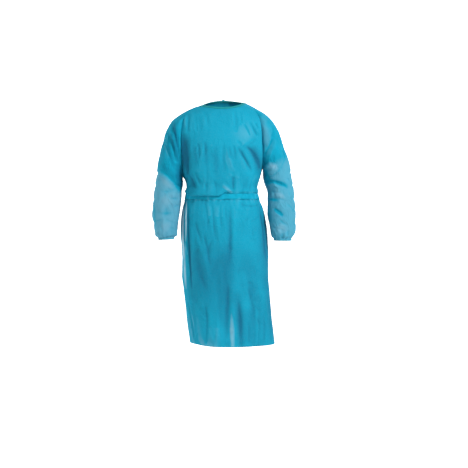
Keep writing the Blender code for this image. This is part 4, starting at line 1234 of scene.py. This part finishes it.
def grid_object(name, grid, closed_round, closed_section=False):
    """Object from a grid of points, rows down and columns along: four-sided faces, a UV
    map in metres along and down the cloth, and the ends joined where it is a ring."""
    rows, columns = grid.shape[:2]
    index = np.arange(rows * columns).reshape(rows, columns)
    seam_grid = grid
    if closed_round:
        index = np.concatenate([index, index[:, :1]], axis=1)
        seam_grid = np.concatenate([seam_grid, seam_grid[:, :1]], axis=1)
    if closed_section:
        index = np.concatenate([index, index[:1]], axis=0)
        seam_grid = np.concatenate([seam_grid, seam_grid[:1]], axis=0)
    faces = np.stack(cell_corners(index), axis=-1).reshape(-1, 4).tolist()
    uv = np.stack([row_lengths(seam_grid), -column_lengths(seam_grid)], axis=-1)
    uv_corners = np.stack(cell_corners(uv), axis=2)
    piece = mesh_object(name, grid, faces)
    layer = piece.data.uv_layers.new(name="cloth")
    layer.data.foreach_set("uv", uv_corners.reshape(-1).astype(np.float32))
    return piece


def make_shell(piece, thickness):
    """Give an open sheet its thickness, half to each side."""
    wall = piece.modifiers.new("wall", "SOLIDIFY")
    wall.thickness = thickness
    wall.offset = 0.0
    return piece


def paint_thin_light_and_shade(piece, tones):
    """Store the tone at every point, or one tone for all of them: how thin and pale the cloth is,
    together with painted light and shade.
    """
    # The thin attribute carries painted light above zero and painted shade below zero, as well as
    # thin cloth
    layer = piece.data.attributes.new("thin", "FLOAT", "POINT")
    values = np.broadcast_to(np.ravel(tones), len(piece.data.vertices))
    layer.data.foreach_set("value", values.astype(np.float32))


def finish_piece(piece, material, slot, *nodes):
    """Give a piece its material, let it stand for its solids and ride the root. The slot is not
    used.
    """
    piece.data.materials.append(material)
    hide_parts(*nodes)
    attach(piece, "root")
    return piece


# Shader node groups, and the Mix node's sockets that carry colours
MIX_SHARE = 0
MIX_FIRST = 6
MIX_SECOND = 7
MIX_COLOUR = 2

# Web: where a bonded dot starts, and the shares of its fibres and clouds. Colour: the
# shares of the slow change over a piece and of the web. Then the cloth's shine.
DOT_EDGE = 0.45
FIBRE_SHARE = 0.7
CLOUD_SHARE = 0.5
SLOW_SHARE = 0.20
WEB_SHARE = 0.03
FIBRE_HEIGHT = 0.00025
THREAD_HEIGHT = 0.0001
CLOTH_ROUGHNESS = (0.90, 0.78)
CLOTH_SHEEN = 0.05
SHEEN_TINT = (0.15, 0.80, 1.0, 1.0)
CLOTH_SPECULAR = 0.09


def new_group(name, inputs, outputs):
    """Shader node group with named sockets, inputs as (name, kind, default), and the
    nodes of its ends."""
    group = bpy.data.node_groups.new(name, "ShaderNodeTree")
    for label, kind, default in inputs:
        socket = group.interface.new_socket(label, in_out="INPUT", socket_type=kind)
        if default is not None:
            socket.default_value = default
    for label, kind in outputs:
        group.interface.new_socket(label, in_out="OUTPUT", socket_type=kind)
    start = group.nodes.new("NodeGroupInput").outputs
    end = group.nodes.new("NodeGroupOutput").inputs
    return group, start, end


def add_node(tree, kind, inputs=None, **settings):
    """Node with its settings, and values or links put on its inputs by name or number."""
    node = tree.nodes.new(kind)
    for key, value in settings.items():
        setattr(node, key, value)
    for key, value in (inputs or {}).items():
        if isinstance(value, bpy.types.NodeSocket):
            tree.links.new(value, node.inputs[key])
        else:
            node.inputs[key].default_value = value
    return node


def maths(tree, operation, first, second=0.0):
    """Output of a Math node."""
    return add_node(tree, "ShaderNodeMath", {0: first, 1: second},
                    operation=operation).outputs[0]


def mapped_range(tree, value, low, high, to_low=0.0, to_high=1.0):
    """Output of a Map Range node that eases between its ends."""
    return add_node(tree, "ShaderNodeMapRange", {
        "Value": value, "From Min": low, "From Max": high,
        "To Min": to_low, "To Max": to_high}, interpolation_type="SMOOTHSTEP").outputs[0]


def noise(tree, place, scale, detail, roughness=0.5, distortion=0.0):
    """Strength of a Noise node at a place."""
    return add_node(tree, "ShaderNodeTexNoise", {
        "Vector": place, "Scale": scale, "Detail": detail, "Roughness": roughness,
        "Distortion": distortion}).outputs[0]


def stretched(tree, place, scale):
    """Place scaled along each axis, which stretches a pattern where the scale is small."""
    return add_node(tree, "ShaderNodeMapping", {"Vector": place, "Scale": scale}).outputs[0]


def mixed_colour(tree, share, first, second):
    """Colour between two, by the share of the second."""
    return add_node(tree, "ShaderNodeMix", {
        MIX_SHARE: share, MIX_FIRST: first, MIX_SECOND: second},
        data_type="RGBA").outputs[MIX_COLOUR]


def fibre_group():
    """Spun web: fine streaks of fibre and a diamond grid of bonded dots. Puts out the
    web's height and its density."""
    group, start, end = new_group("spun_web", [
        ("Vector", "NodeSocketVector", None), ("Dot Pitch", "NodeSocketFloat", 0.0022),
        ("Dot Depth", "NodeSocketFloat", 0.5)],
        [("Height", "NodeSocketFloat"), ("Density", "NodeSocketFloat")])
    along_fibres = stretched(group, start["Vector"], (1.0, 0.28, 1.0))
    streaks = noise(group, along_fibres, 900.0, 4.0, roughness=0.62, distortion=0.6)
    clouds = noise(group, start["Vector"], 160.0, 3.0, roughness=0.55)
    axes = add_node(group, "ShaderNodeSeparateXYZ", {0: start["Vector"]}).outputs
    frequency = maths(group, "DIVIDE", math.pi, start["Dot Pitch"])
    rising = maths(group, "MULTIPLY", maths(group, "ADD", axes[0], axes[1]), frequency)
    falling = maths(group, "MULTIPLY", maths(group, "SUBTRACT", axes[0], axes[1]), frequency)
    dots = maths(group, "MULTIPLY", maths(group, "COSINE", rising),
                 maths(group, "COSINE", falling))
    dots = maths(group, "MAXIMUM", maths(group, "SUBTRACT", dots, DOT_EDGE), 0.0)
    dots = maths(group, "MULTIPLY", dots, start["Dot Depth"])
    web = maths(group, "ADD", maths(group, "MULTIPLY", streaks, FIBRE_SHARE),
                maths(group, "MULTIPLY", clouds, CLOUD_SHARE))
    group.links.new(maths(group, "SUBTRACT", web, dots), end["Height"])
    group.links.new(web, end["Density"])
    return group


def crumple_group():
    """Handling marks too fine for the mesh: soft bent lines where slow noise crosses its
    middle, at two sizes, and fine streaks that run down the cloth. Puts out a height."""
    group, start, end = new_group("crumple", [
        ("Vector", "NodeSocketVector", None), ("Crease Scale", "NodeSocketFloat", 22.0),
        ("Streak Depth", "NodeSocketFloat", 0.35)],
        [("Height", "NodeSocketFloat")])
    down_cloth = stretched(group, start["Vector"], (1.0, 1.0, 0.55))
    marks = []
    for size, share in ((1.0, 1.0), (2.2, 0.5)):
        scale = maths(group, "MULTIPLY", start["Crease Scale"], size)
        wander = noise(group, down_cloth, scale, 1.0, distortion=0.8)
        away = maths(group, "ABSOLUTE", maths(group, "SUBTRACT", wander, 0.5))
        line = mapped_range(group, away, 0.0, 0.10, 1.0, 0.0)
        patches = noise(group, start["Vector"], 8.0 * size, 1.0)
        here = mapped_range(group, patches, 0.40, 0.64)
        marks.append(maths(group, "MULTIPLY", maths(group, "MULTIPLY", line, here), share))
    total = maths(group, "ADD", *marks)
    soft = noise(group, down_cloth, 46.0, 3.0)
    total = maths(group, "ADD", total, maths(group, "MULTIPLY", soft, 1.2))
    streaks = noise(group, stretched(group, start["Vector"], (1.0, 1.0, 0.07)), 150.0, 2.0)
    streaks = maths(group, "MULTIPLY", streaks, start["Streak Depth"])
    group.links.new(maths(group, "ADD", total, streaks), end["Height"])
    return group


def tone_group():
    """Dye and density of the cloth: its colour varies slowly over a piece and with the
    web's density; it pales where the Thin input is above zero, for thin cloth and painted light,
    and deepens where it is below zero, for dense cloth and painted shade."""
    group, start, end = new_group("cloth_tone", [
        ("Vector", "NodeSocketVector", None), ("Density", "NodeSocketFloat", 0.5),
        ("Thin", "NodeSocketFloat", 0.0), ("Colour", "NodeSocketColor", (0.02, 0.4, 0.6, 1)),
        ("Deep Colour", "NodeSocketColor", (0.01, 0.3, 0.45, 1)),
        ("Thin Colour", "NodeSocketColor", (0.2, 0.5, 0.65, 1))],
        [("Colour", "NodeSocketColor")])
    clouds = noise(group, start["Vector"], 6.0, 4.0, roughness=0.55)
    slow = maths(group, "MULTIPLY", mapped_range(group, clouds, 0.35, 0.70), SLOW_SHARE)
    varied = mixed_colour(group, slow, start["Colour"], start["Deep Colour"])
    density = mapped_range(group, start["Density"], 0.35, 0.85)
    thinner_and_lit = maths(group, "MULTIPLY", maths(group, "SUBTRACT", 1.0, density), WEB_SHARE)
    # Above zero the Thin input is thin cloth and painted light
    thinner_and_lit = maths(group, "ADD", thinner_and_lit, maths(group, "MAXIMUM", start["Thin"], 0.0))
    # Below zero the Thin input is painted shade and the belt's denser cloth
    denser_and_shaded = maths(group, "MAXIMUM", maths(group, "MULTIPLY", start["Thin"], -1.0), 0.0)
    deepened = mixed_colour(group, denser_and_shaded, varied, start["Deep Colour"])
    paled = mixed_colour(group, thinner_and_lit, deepened, start["Thin Colour"])
    group.links.new(paled, end["Colour"])
    return group


GROUPS = {"web": fibre_group(), "crumple": crumple_group(), "tone": tone_group()}


def cloth_material(name, colour, deep, thin, through, crease_scale, crumple_depth, dot_pitch):
    """Nonwoven cloth: web, crumple and tone groups into a Principled shader, mixed with a
    share of Translucent light for how thin it is."""
    made = bpy.data.materials.new(name)
    made.use_nodes = True
    tree = made.node_tree
    tree.nodes.clear()
    place = add_node(tree, "ShaderNodeTexCoord").outputs["Object"]
    cloth_uv = add_node(tree, "ShaderNodeUVMap", uv_map="cloth").outputs[0]
    # The thin attribute carries thin places together with painted light and shade
    thin_lit_and_shaded_places = add_node(tree, "ShaderNodeAttribute", attribute_name="thin").outputs["Fac"]
    web = add_node(tree, "ShaderNodeGroup", {
        "Vector": cloth_uv, "Dot Pitch": dot_pitch}, node_tree=GROUPS["web"]).outputs
    crumpled = add_node(tree, "ShaderNodeGroup", {
        "Vector": place, "Crease Scale": crease_scale},
        node_tree=GROUPS["crumple"]).outputs["Height"]
    tone = add_node(tree, "ShaderNodeGroup", {
        "Vector": place, "Density": web["Density"], "Thin": thin_lit_and_shaded_places,
        "Colour": (*colour, 1), "Deep Colour": (*deep, 1), "Thin Colour": (*thin, 1)},
        node_tree=GROUPS["tone"]).outputs["Colour"]
    folds = add_node(tree, "ShaderNodeBump", {
        "Height": crumpled, "Strength": 1.0, "Distance": crumple_depth})
    fibres = add_node(tree, "ShaderNodeBump", {
        "Height": web["Height"], "Strength": 0.5, "Distance": FIBRE_HEIGHT,
        "Normal": folds.outputs[0]})
    rough = mapped_range(tree, web["Density"], 0.3, 0.9, *CLOTH_ROUGHNESS)
    shader = add_node(tree, "ShaderNodeBsdfPrincipled", {
        "Base Color": tone, "Roughness": rough, "Normal": fibres.outputs[0],
        "Sheen Weight": CLOTH_SHEEN, "Sheen Roughness": 0.40, "Sheen Tint": SHEEN_TINT,
        "Specular IOR Level": CLOTH_SPECULAR})
    lit_through = add_node(tree, "ShaderNodeBsdfTranslucent", {
        "Color": tone, "Normal": fibres.outputs[0]})
    mixed = add_node(tree, "ShaderNodeMixShader", {
        0: through, 1: shader.outputs[0], 2: lit_through.outputs[0]})
    add_node(tree, "ShaderNodeOutputMaterial", {"Surface": mixed.outputs[0]})
    return made


def thread_material(name, colour):
    """Dull spun thread: fine noise on the piece's own place darkens and roughens it."""
    made = bpy.data.materials.new(name)
    made.use_nodes = True
    tree = made.node_tree
    shader = tree.nodes["Principled BSDF"].inputs
    place = add_node(tree, "ShaderNodeTexCoord").outputs["Object"]
    twist = noise(tree, place, 2400.0, 2.0)
    darker = [0.8 * part for part in colour]
    tint = mixed_colour(tree, twist, (*colour, 1), (*darker, 1))
    bump = add_node(tree, "ShaderNodeBump", {
        "Height": twist, "Strength": 0.6, "Distance": THREAD_HEIGHT})
    tree.links.new(tint, shader["Base Color"])
    tree.links.new(bump.outputs[0], shader["Normal"])
    shader["Roughness"].default_value = 0.7
    shader["Sheen Weight"].default_value = 0.2
    return made


# The thin colours serve thin cloth and painted light alike, and the deep colours both the slow
# clouds and painted shade
MATERIALS = {
    "body": cloth_material(
        "gown_body_cloth", colour=(0.0005, 0.365, 0.540), deep=(0.0, 0.165, 0.290),
        thin=(0.640, 0.860, 0.930), through=0.24, crease_scale=15.0,
        crumple_depth=0.0012, dot_pitch=0.0024),
    "sleeve": cloth_material(
        "gown_sleeve_cloth", colour=(0.001, 0.370, 0.545), deep=(0.0, 0.170, 0.300),
        thin=(0.230, 0.480, 0.610), through=0.28, crease_scale=19.0,
        crumple_depth=0.0018, dot_pitch=0.0024),
    "binding": cloth_material(
        "neck_binding_cloth", colour=(0.004, 0.270, 0.300), deep=(0.0, 0.200, 0.230),
        thin=(0.140, 0.440, 0.500), through=0.10, crease_scale=50.0,
        crumple_depth=0.0004, dot_pitch=0.0018),
    "belt": cloth_material(
        "belt_cloth", colour=(0.0005, 0.360, 0.535), deep=(0.0, 0.190, 0.320),
        thin=(0.240, 0.560, 0.700), through=0.12, crease_scale=45.0,
        crumple_depth=0.0010, dot_pitch=0.0022),
    "cuff": cloth_material(
        "cuff_cloth", colour=(0.010, 0.370, 0.520), deep=(0.004, 0.200, 0.320),
        thin=(0.200, 0.480, 0.600), through=0.15, crease_scale=50.0,
        crumple_depth=0.0006, dot_pitch=0.0022),
    "elastic": thread_material("cream_elastic", (0.620, 0.590, 0.510)),
}


def stitch_row(name, path, out, material):
    """Row of stitches along a path: equal steps of the pitch, each a short six-sided
    grain whose radius follows a table of girths, bowed up by a cosine and sunk a little
    into the cloth, all joined in one mesh."""
    steps = np.linalg.norm(np.diff(path, axis=0), axis=1)
    run = np.concatenate([[0], np.cumsum(steps)])
    at = np.arange(STITCH_PITCH / 2, run[-1], STITCH_PITCH)

    def along_path(rows, places):
        return np.stack([np.interp(places, run, rows[:, axis]) for axis in range(3)], axis=-1)

    centre = along_path(path, at)
    ahead = along_path(path, at + STITCH_PITCH / 4)
    behind = along_path(path, at - STITCH_PITCH / 4)
    up = unit(along_path(out, at))
    forward = unit(ahead - behind)
    side = unit(np.cross(up, forward))
    spokes = 2 * math.pi * np.arange(STITCH_SIDES) / STITCH_SIDES
    sections, girth = STITCH_GIRTHS.T
    radius = STITCH_RADIUS * girth[:, None]
    bow = STITCH_RADIUS * (1 - 2 * STITCH_SINK) * np.cos(math.pi * sections)
    points = (centre[:, None, None]
              + forward[:, None, None] * (sections * STITCH_LENGTH)[None, :, None, None]
              + side[:, None, None] * (radius * np.cos(spokes))[None, ..., None]
              + up[:, None, None] * (radius * np.sin(spokes) + bow[:, None])[None, ..., None])
    index = np.arange(points.size // 3).reshape(points.shape[:3])
    ring = np.concatenate([index, index[..., :1]], axis=-1)
    faces = np.stack([ring[:, :-1, :-1], ring[:, :-1, 1:], ring[:, 1:, 1:], ring[:, 1:, :-1]],
                     axis=-1).reshape(-1, 4).tolist()
    faces += index[:, 0, ::-1].tolist() + index[:, -1].tolist()
    piece = mesh_object(name, points, faces)
    piece.data.materials.append(material)
    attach(piece, "root")
    return piece


def body_panels():
    """Front and the two lapping backs, each a thin sheet with painted light and shade stored on
    it.
    """
    points, tone = front_grid()
    front = make_shell(grid_object("front_panel_cloth", points, False), CLOTH_THICKNESS)
    # Painted highlight and shade of the folds, with the front's painted light and shade
    paint_thin_light_and_shade(front, tone + front_light_and_shade(points))
    finish_piece(front, MATERIALS["body"], "gown_cloth", "front_panel")
    for side in ("left", "right"):
        name = f"back_panel_{side}"
        points, tone = back_grid(side)
        panel = make_shell(grid_object(name + "_cloth", points, False), CLOTH_THICKNESS)
        # Painted highlight and shade of the folds, with the front's painted light and shade
        paint_thin_light_and_shade(panel, tone + front_light_and_shade(points))
        finish_piece(panel, MATERIALS["body"], "gown_cloth", name)


def sleeve_light_shade_and_tones(side, points):
    """Painted light and shade laid on a sleeve: strokes on its front, and its paler lower part.
    """
    x, y, z = np.moveaxis(points, -1, 0)
    line_x, line_z, slope, pale = PALE_LOWER_SLEEVE[side]
    below = line_z + slope * (x - line_x) - z
    strokes = tone_sum(x, z, SLEEVE_LIGHT_AND_SHADE[side]) * (y < SLEEVE_TONE_END)
    return strokes + pale * ease(below, *LOWER_SLEEVE_FADE)


def sleeves():
    """Both sleeves and their cuffs, with the overlock thread round each cuff's edge."""
    for side in ("left", "right"):
        name = f"sleeve_{side}"
        points, tone = sleeve_grid(side)
        piece = make_shell(grid_object(name + "_cloth", points, True), CLOTH_THICKNESS)
        # Painted highlight and shade of the folds, with the sleeve's painted light and shade
        paint_thin_light_and_shade(piece, tone + sleeve_light_shade_and_tones(side, points))
        finish_piece(piece, MATERIALS["sleeve"], "gown_cloth", name)
        cuff_points = cuff_grid(side)
        cuff = make_shell(grid_object(f"cuff_{side}_cloth", cuff_points, True), CUFF_THICKNESS)
        paint_thin_light_and_shade(cuff, CUFF_TONE)
        finish_piece(cuff, MATERIALS["cuff"], "cuff_elastic", f"cuff_{side}")
        edge = np.concatenate([cuff_points[-1], cuff_points[-1, :1]])
        out = unit((edge - edge.mean(axis=0)) * np.array([1, 1, 0.2]))
        stitch_row(f"cuff_{side}_overlock", edge, out, MATERIALS["elastic"])


def neck_binding():
    """Folded strip round the neck edge."""
    binding = grid_object("neck_binding_cloth", binding_grid(), True)
    make_shell(binding, BINDING_THICKNESS)
    paint_thin_light_and_shade(binding, STRIP_TONE)
    finish_piece(binding, MATERIALS["binding"], "binding_cloth", "neck_binding")
    return binding


def waist_belt():
    """Belt, a little paler and deeper in clouds, with stripes of painted highlight and shade for
    its gathers.
    """
    points = folded_strip(BELT_TOP, BELT_BOTTOM, BELT_COLUMNS, BELT_THICKNESS, BELT_WOBBLE)
    belt = grid_object("waist_belt_cloth", points, True, closed_section=True)
    turn = 2 * math.pi * np.arange(BELT_COLUMNS)[None, :] / BELT_COLUMNS
    across = np.linspace(0, 1, STRIP_SECTION)[:, None]
    clouds = lattice_noise(turn * 7, across * 2 + 0.5, BELT_CLOUD_CELLS, BELT_CLOUD_SEED)
    # Clouds of tone, and stripes of painted highlight and shade for the gathers
    paint_thin_light_and_shade(belt, BELT_TONE + BELT_TONE_CLOUDS * clouds
               + BELT_GATHER_LIGHT_AND_SHADE * np.cos(BELT_GATHERS * turn))
    finish_piece(belt, MATERIALS["belt"], "belt_cloth", "waist_belt")
    return belt


def knot_and_tails(name, ring, size, span, width, material, slot):
    """Knot on the lapping backs, and its two tails, which hang from under it."""
    face = taut(90.0, ring, STRIP_LIFT + OVERLAP_LIFT + WALL / 2 + SEAM_GAP)
    out = body_normals(np.array(90.0), np.array(ring))
    centre = face + out * np.linalg.norm(out * np.array(size) / 2)
    knot = grid_object(f"{name}_knot_cloth", knot_grid(centre, size), True)
    paint_thin_light_and_shade(knot, STRIP_TONE)
    finish_piece(knot, material, slot, f"{name}_knot")
    back_z = BODY_RINGS[:, RING_COLUMNS.index("back_z")]
    start = np.interp(size[2] / 2 - centre[2], -back_z, np.arange(len(BODY_RINGS)))
    rings = start + span * np.linspace(0, 1, TAIL_ROWS)
    near = max(float(centre[1] - taut(90.0, start, 0.0)[1]), TAIL_LIFT)
    for label, angle, drift, curl in TAILS:
        grid = tail_grid(angle, drift, rings, width, near, TAIL_LIFT, curl)
        tail = make_shell(grid_object(f"{name}_{label}_cloth", grid, False), TAIL_THICKNESS)
        paint_thin_light_and_shade(tail, TAIL_TONE)
        finish_piece(tail, material, slot, f"{name}_{label}")


def strips():
    """Neck binding and waist belt, each with its knot and two tails."""
    binding = neck_binding()
    belt = waist_belt()
    knot_and_tails("waist", (BELT_TOP + BELT_BOTTOM) / 2, WAIST_KNOT, WAIST_TAIL_RINGS,
                   TIE_WIDTH, MATERIALS["belt"], "belt_cloth")
    knot_and_tails("neck", BINDING_END / 2, NECK_KNOT, NECK_TAIL_RINGS, NECK_TIE_WIDTH,
                   MATERIALS["binding"], "binding_cloth")


body_panels()
sleeves()
strips()

# Studio: a pale floor that sweeps up behind, a large key light high at the right of the
# view, and weaker ones for the left of the view, for both rims and for the back. Each
# light has a name, a place, the height that it aims at, a size and a power.
FLOOR_Z = -1.56
FLOOR_FRONT = -7.0
FLOOR_MIDDLE = -3.0
FLOOR_HALF_WIDTH = 8.0
SWEEP_START = 2.2
SWEEP_RADIUS = 1.6
WALL_HEIGHT = 5.0
GROUND_SHARE = 0.74
AMBIENT = 0.20
LIGHTS = (
    ("key", (2.8, -3.0, 2.3), -0.5, 1.2, 274.0),
    ("fill", (-3.2, -1.6, 0.2), -0.5, 2.2, 42.0),
    ("rim_right", (-2.8, 1.4, 0.2), -0.6, 2.0, 55.0),
    ("rim_left", (2.6, 2.0, 0.3), -0.6, 2.0, 10.0),
    ("back", (0.9, 3.1, 1.8), -0.6, 1.6, 70.0),
)
CAMERA_PLACE = (0.0575, -4.0, -0.45)
CAMERA_DROP = 2.24
SENSOR_WIDTH = 36.0
LENS = 66.92


def studio_floor():
    """Floor and backdrop in one sheet: a flat run, a quarter circle and a wall. The
    camera sees it evened out to a pale ground; the gown is lit by its plain colour."""
    arc = np.linspace(0, math.pi / 2, 24)
    flat = np.array([(FLOOR_FRONT, FLOOR_Z), (FLOOR_MIDDLE, FLOOR_Z), (0.0, FLOOR_Z)])
    bend = np.stack([SWEEP_START + SWEEP_RADIUS * np.sin(arc),
                     FLOOR_Z + SWEEP_RADIUS * (1 - np.cos(arc))], axis=-1)
    wall = np.array([(SWEEP_START + SWEEP_RADIUS, FLOOR_Z + SWEEP_RADIUS + WALL_HEIGHT)])
    line = np.concatenate([flat, bend, wall])
    across = np.linspace(-FLOOR_HALF_WIDTH, FLOOR_HALF_WIDTH, 9)
    points = np.stack(np.broadcast_arrays(across[None, :], line[:, :1], line[:, 1:]), axis=-1)
    floor = grid_object("studio_floor", points[::-1], False)
    made = bpy.data.materials.new("pale_floor")
    made.use_nodes = True
    tree = made.node_tree
    shader = tree.nodes["Principled BSDF"].inputs
    grain = add_node(tree, "ShaderNodeTexNoise", {"Scale": 40.0, "Detail": 3.0}).outputs[0]
    tint = mixed_colour(tree, grain, (0.93, 0.93, 0.93, 1), (0.90, 0.90, 0.90, 1))
    tree.links.new(tint, shader["Base Color"])
    shader["Roughness"].default_value = 0.8
    seen = add_node(tree, "ShaderNodeLightPath").outputs["Is Camera Ray"]
    evened = maths(tree, "MULTIPLY", seen, GROUND_SHARE)
    shader["Emission Color"].default_value = (1.0, 1.0, 1.0, 1.0)
    tree.links.new(evened, shader["Emission Strength"])
    floor.data.materials.append(made)


def area_light(name, place, aim_z, size, power):
    """Round lamp at a place, turned to face the gown's axis at a height."""
    lamp = bpy.data.lights.new(name, "AREA")
    lamp.shape = "DISK"
    lamp.size = size
    lamp.energy = power
    holder = bpy.data.objects.new(name, lamp)
    bpy.context.scene.collection.objects.link(holder)
    direction = unit(np.array([0.0, 0.0, aim_z]) - np.array(place))
    pitch = math.acos(-direction[2])
    heading = math.atan2(direction[1], direction[0]) - math.pi / 2
    holder.location = place
    holder.rotation_euler = (pitch, 0.0, heading)


def studio_world():
    """White to the camera, and a weak even light to the gown."""
    world = bpy.data.worlds.new("studio")
    world.use_nodes = True
    tree = world.node_tree
    tree.nodes.clear()
    path = add_node(tree, "ShaderNodeLightPath")
    seen = add_node(tree, "ShaderNodeBackground", {"Color": (1, 1, 1, 1), "Strength": 1.0})
    lighting = add_node(tree, "ShaderNodeBackground", {
        "Color": (0.96, 0.98, 1.0, 1), "Strength": AMBIENT})
    mixed = add_node(tree, "ShaderNodeMixShader", {
        0: path.outputs["Is Camera Ray"], 1: lighting.outputs[0], 2: seen.outputs[0]})
    add_node(tree, "ShaderNodeOutputWorld", {"Surface": mixed.outputs[0]})
    bpy.context.scene.world = world


def studio_camera():
    """Camera at the photograph's distance and angle, nearly level."""
    camera = bpy.data.cameras.new("camera")
    camera.sensor_width = SENSOR_WIDTH
    camera.lens = LENS
    holder = bpy.data.objects.new("camera", camera)
    holder.location = CAMERA_PLACE
    holder.rotation_euler = (math.radians(90 - CAMERA_DROP), 0.0, 0.0)
    bpy.context.scene.collection.objects.link(holder)
    bpy.context.scene.camera = holder


studio_floor()
studio_world()
for light in LIGHTS:
    area_light(*light)
studio_camera()
bpy.context.scene.view_settings.view_transform = "Standard"
